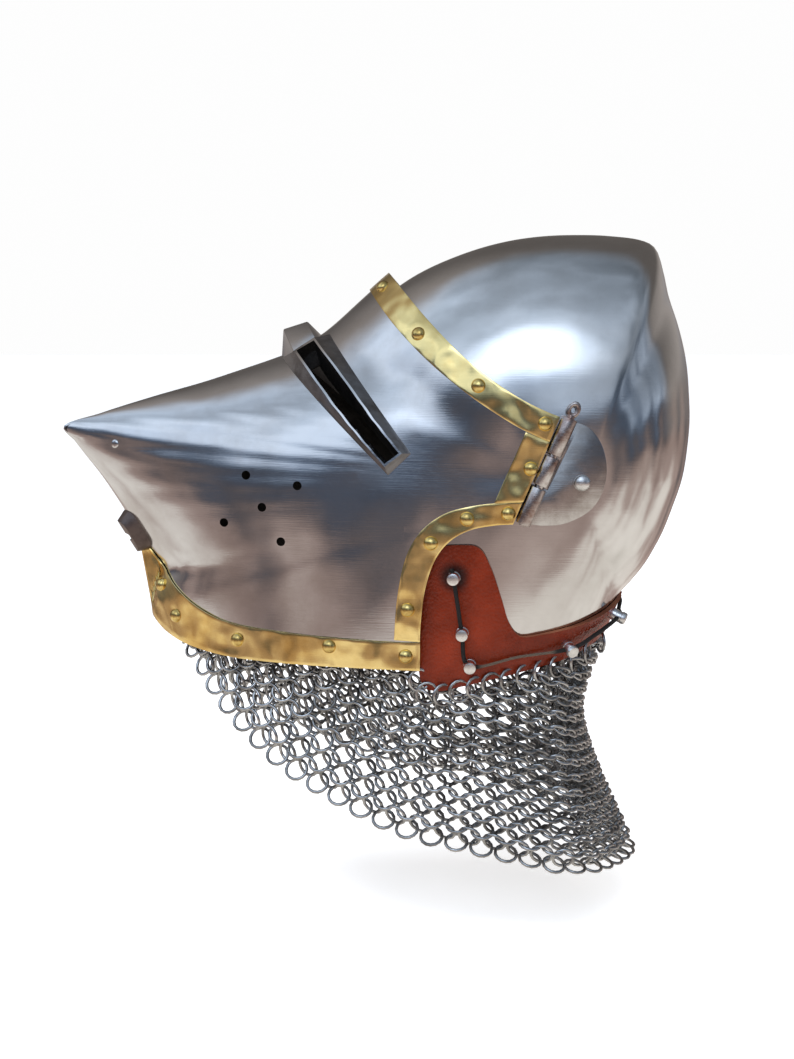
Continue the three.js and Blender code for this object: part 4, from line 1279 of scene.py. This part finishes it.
# Each line runs up from the hem, so that a height is a length along it
mail_lines = [smooth(row[::-1], 80) for row in [*MAIL_ROWS, *other_rows]]
line_lengths = [running_lengths(line)[-1] for line in mail_lines]
mail_lines = [spaced(line, 80) for line in mail_lines]


def line_point(line, length, height):
    if height <= length:
        return along(line, max(0, height) / length)
    return line[-1] + (line[-1] - line[-2]).normalized() * (height - length)


def mail_point(place, height):
    """Point on the curtain at a place counted in lines round it and a height above the hem."""
    count = len(mail_lines)
    i = math.floor(place)
    p = place - i
    near = [k % count for k in range(i - 1, i + 3)]
    before, here, after, beyond = (line_point(mail_lines[k], line_lengths[k], height) for k in near)
    return hermite(p, here, after, (after - before) / 2, (beyond - here) / 2)


def mail_height(place):
    count = len(mail_lines)
    i = math.floor(place)
    low, high = line_lengths[i % count], line_lengths[(i + 1) % count]
    return low + (high - low) * (place - i)


# %% One ring
RING_RADIUS = 7.1
WIRE_RADIUS = 1.12
bm = bmesh.new()
upright = Matrix.Translation((RING_RADIUS, 0, 0)) @ Matrix.Rotation(math.pi / 2, 4, "X")
bmesh.ops.create_circle(bm, segments=6, radius=WIRE_RADIUS, matrix=upright)
bmesh.ops.spin(bm, geom=bm.verts[:] + bm.edges[:], cent=(0, 0, 0), axis=(0, 0, 1), angle=2 * math.pi,
               steps=14, use_merge=True)
bmesh.ops.recalc_face_normals(bm, faces=bm.faces)
ring_mesh = bpy.data.meshes.new("ring")
bm.to_mesh(ring_mesh)
bm.free()
print("faces of one ring:", len(ring_mesh.polygons))

# %% Link the curtain
RINGS_AROUND = 52
HEM_RISE = 5.5
LINK_REACH = 8.1
YAW = math.radians(9)
MOST_ROWS = 36
TOP_ROOM = 1.5
HEM_PIECES = 800
# how far a ring strays in lean, outwards and in yaw
LEAN_STRAY = 0.09
OUT_STRAY = 0.3
YAW_STRAY = 0.06
# columns: line round the curtain, from chin to nape; rise of one row there
ROW_RISES = [(0, 7.3), (3, 7.1), (5, 6.4), (7, 5.5), (8.5, 5.1), (10, 5.3)]
random.seed(4)
hem = [mail_point(len(mail_lines) * i / HEM_PIECES, 0) for i in range(HEM_PIECES + 1)]
hem_lengths = running_lengths(hem)


def hem_place(share):
    target = share % 1 * hem_lengths[-1]
    i = max(k for k in range(HEM_PIECES) if hem_lengths[k] <= target)
    part = (target - hem_lengths[i]) / (hem_lengths[i + 1] - hem_lengths[i])
    return len(mail_lines) * (i + part) / HEM_PIECES


def row_rise(place):
    """The mail hangs open under the chin and bunches up towards the nape."""
    line = min(place, len(mail_lines) - place)
    for (low, first), (high, second) in zip(ROW_RISES, ROW_RISES[1:]):
        if low <= line <= high:
            return first + (second - first) * (line - low) / (high - low)
    return ROW_RISES[-1][1]


def add_ring(bm, middle, across, up):
    facing = across.cross(up).normalized()
    turn = Matrix((across, facing.cross(across), facing)).transposed().to_4x4()
    ring = ring_mesh.copy()
    ring.transform(Matrix.Translation(middle) @ turn @ Matrix.Rotation(random.uniform(0, 6.28), 4, "Z"))
    bm.from_mesh(ring)
    bpy.data.meshes.remove(ring)


bm = bmesh.new()
ring_count = 0
for row in range(MOST_ROWS):
    for i in range(RINGS_AROUND):
        place = hem_place((i + 0.5 * (row % 2)) / RINGS_AROUND)
        height = HEM_RISE + row_rise(place) * row
        if mail_height(place) - height < TOP_ROOM:
            continue
        middle = mail_point(place, height)
        level = (mail_point(place + 0.04, height) - mail_point(place - 0.04, height)).normalized()
        rise = (mail_point(place, height + 2) - mail_point(place, height - 2)).normalized()
        outward = level.cross(rise).normalized()
        rise = outward.cross(level)
        lean = math.acos(row_rise(place) / LINK_REACH) * (1 if row % 2 else -1)
        lean += random.uniform(-LEAN_STRAY, LEAN_STRAY)
        middle += outward * random.uniform(-OUT_STRAY, OUT_STRAY)
        up = rise * math.cos(lean) + outward * math.sin(lean)
        yaw = YAW + random.uniform(-YAW_STRAY, YAW_STRAY)
        across = level * math.cos(yaw) + up.cross(level).normalized() * -math.sin(yaw)
        add_ring(bm, middle, across, up)
        ring_count += 1
print("linked rings:", ring_count)

# %% Hook the top row through the leather
HOOK_STEP = 10.5
HOOK_DROP = 2.2
HOOK_TURNS = (30, 16)
HOOK_STRAY = 0.1
HOOK_LIFT = LEATHER_LIFT + LEATHER_THICK + 1.3
UP = Vector((0, 0, 1))
leather_hem = smooth(LEATHER_BOTTOM, 200)[12:]
hooks = spaced(leather_hem, round(running_lengths(leather_hem)[-1] / HOOK_STEP))[:-1]
for i, spot in enumerate(hooks):
    for sign in (1, -1):
        side = Vector((1, sign, 1))
        middle = draped(skull_form, spot.x, spot.y - HOOK_DROP, HOOK_LIFT)
        outward = left_normal(skull_form, spot.x, spot.y - HOOK_DROP)
        turn = math.radians(HOOK_TURNS[i % 2]) + random.uniform(-HOOK_STRAY, HOOK_STRAY)
        across = Matrix.Rotation(turn, 3, "Z") @ outward.cross(UP).normalized()
        up = UP - across * across.z
        add_ring(bm, middle * side, across * side, (up * side).normalized())
print("hooked rings:", 2 * len(hooks))
mail = to_object("linked_mail", bm, sharp=80)
dress(mail, [mail_steel], "helmet", ["mail"])
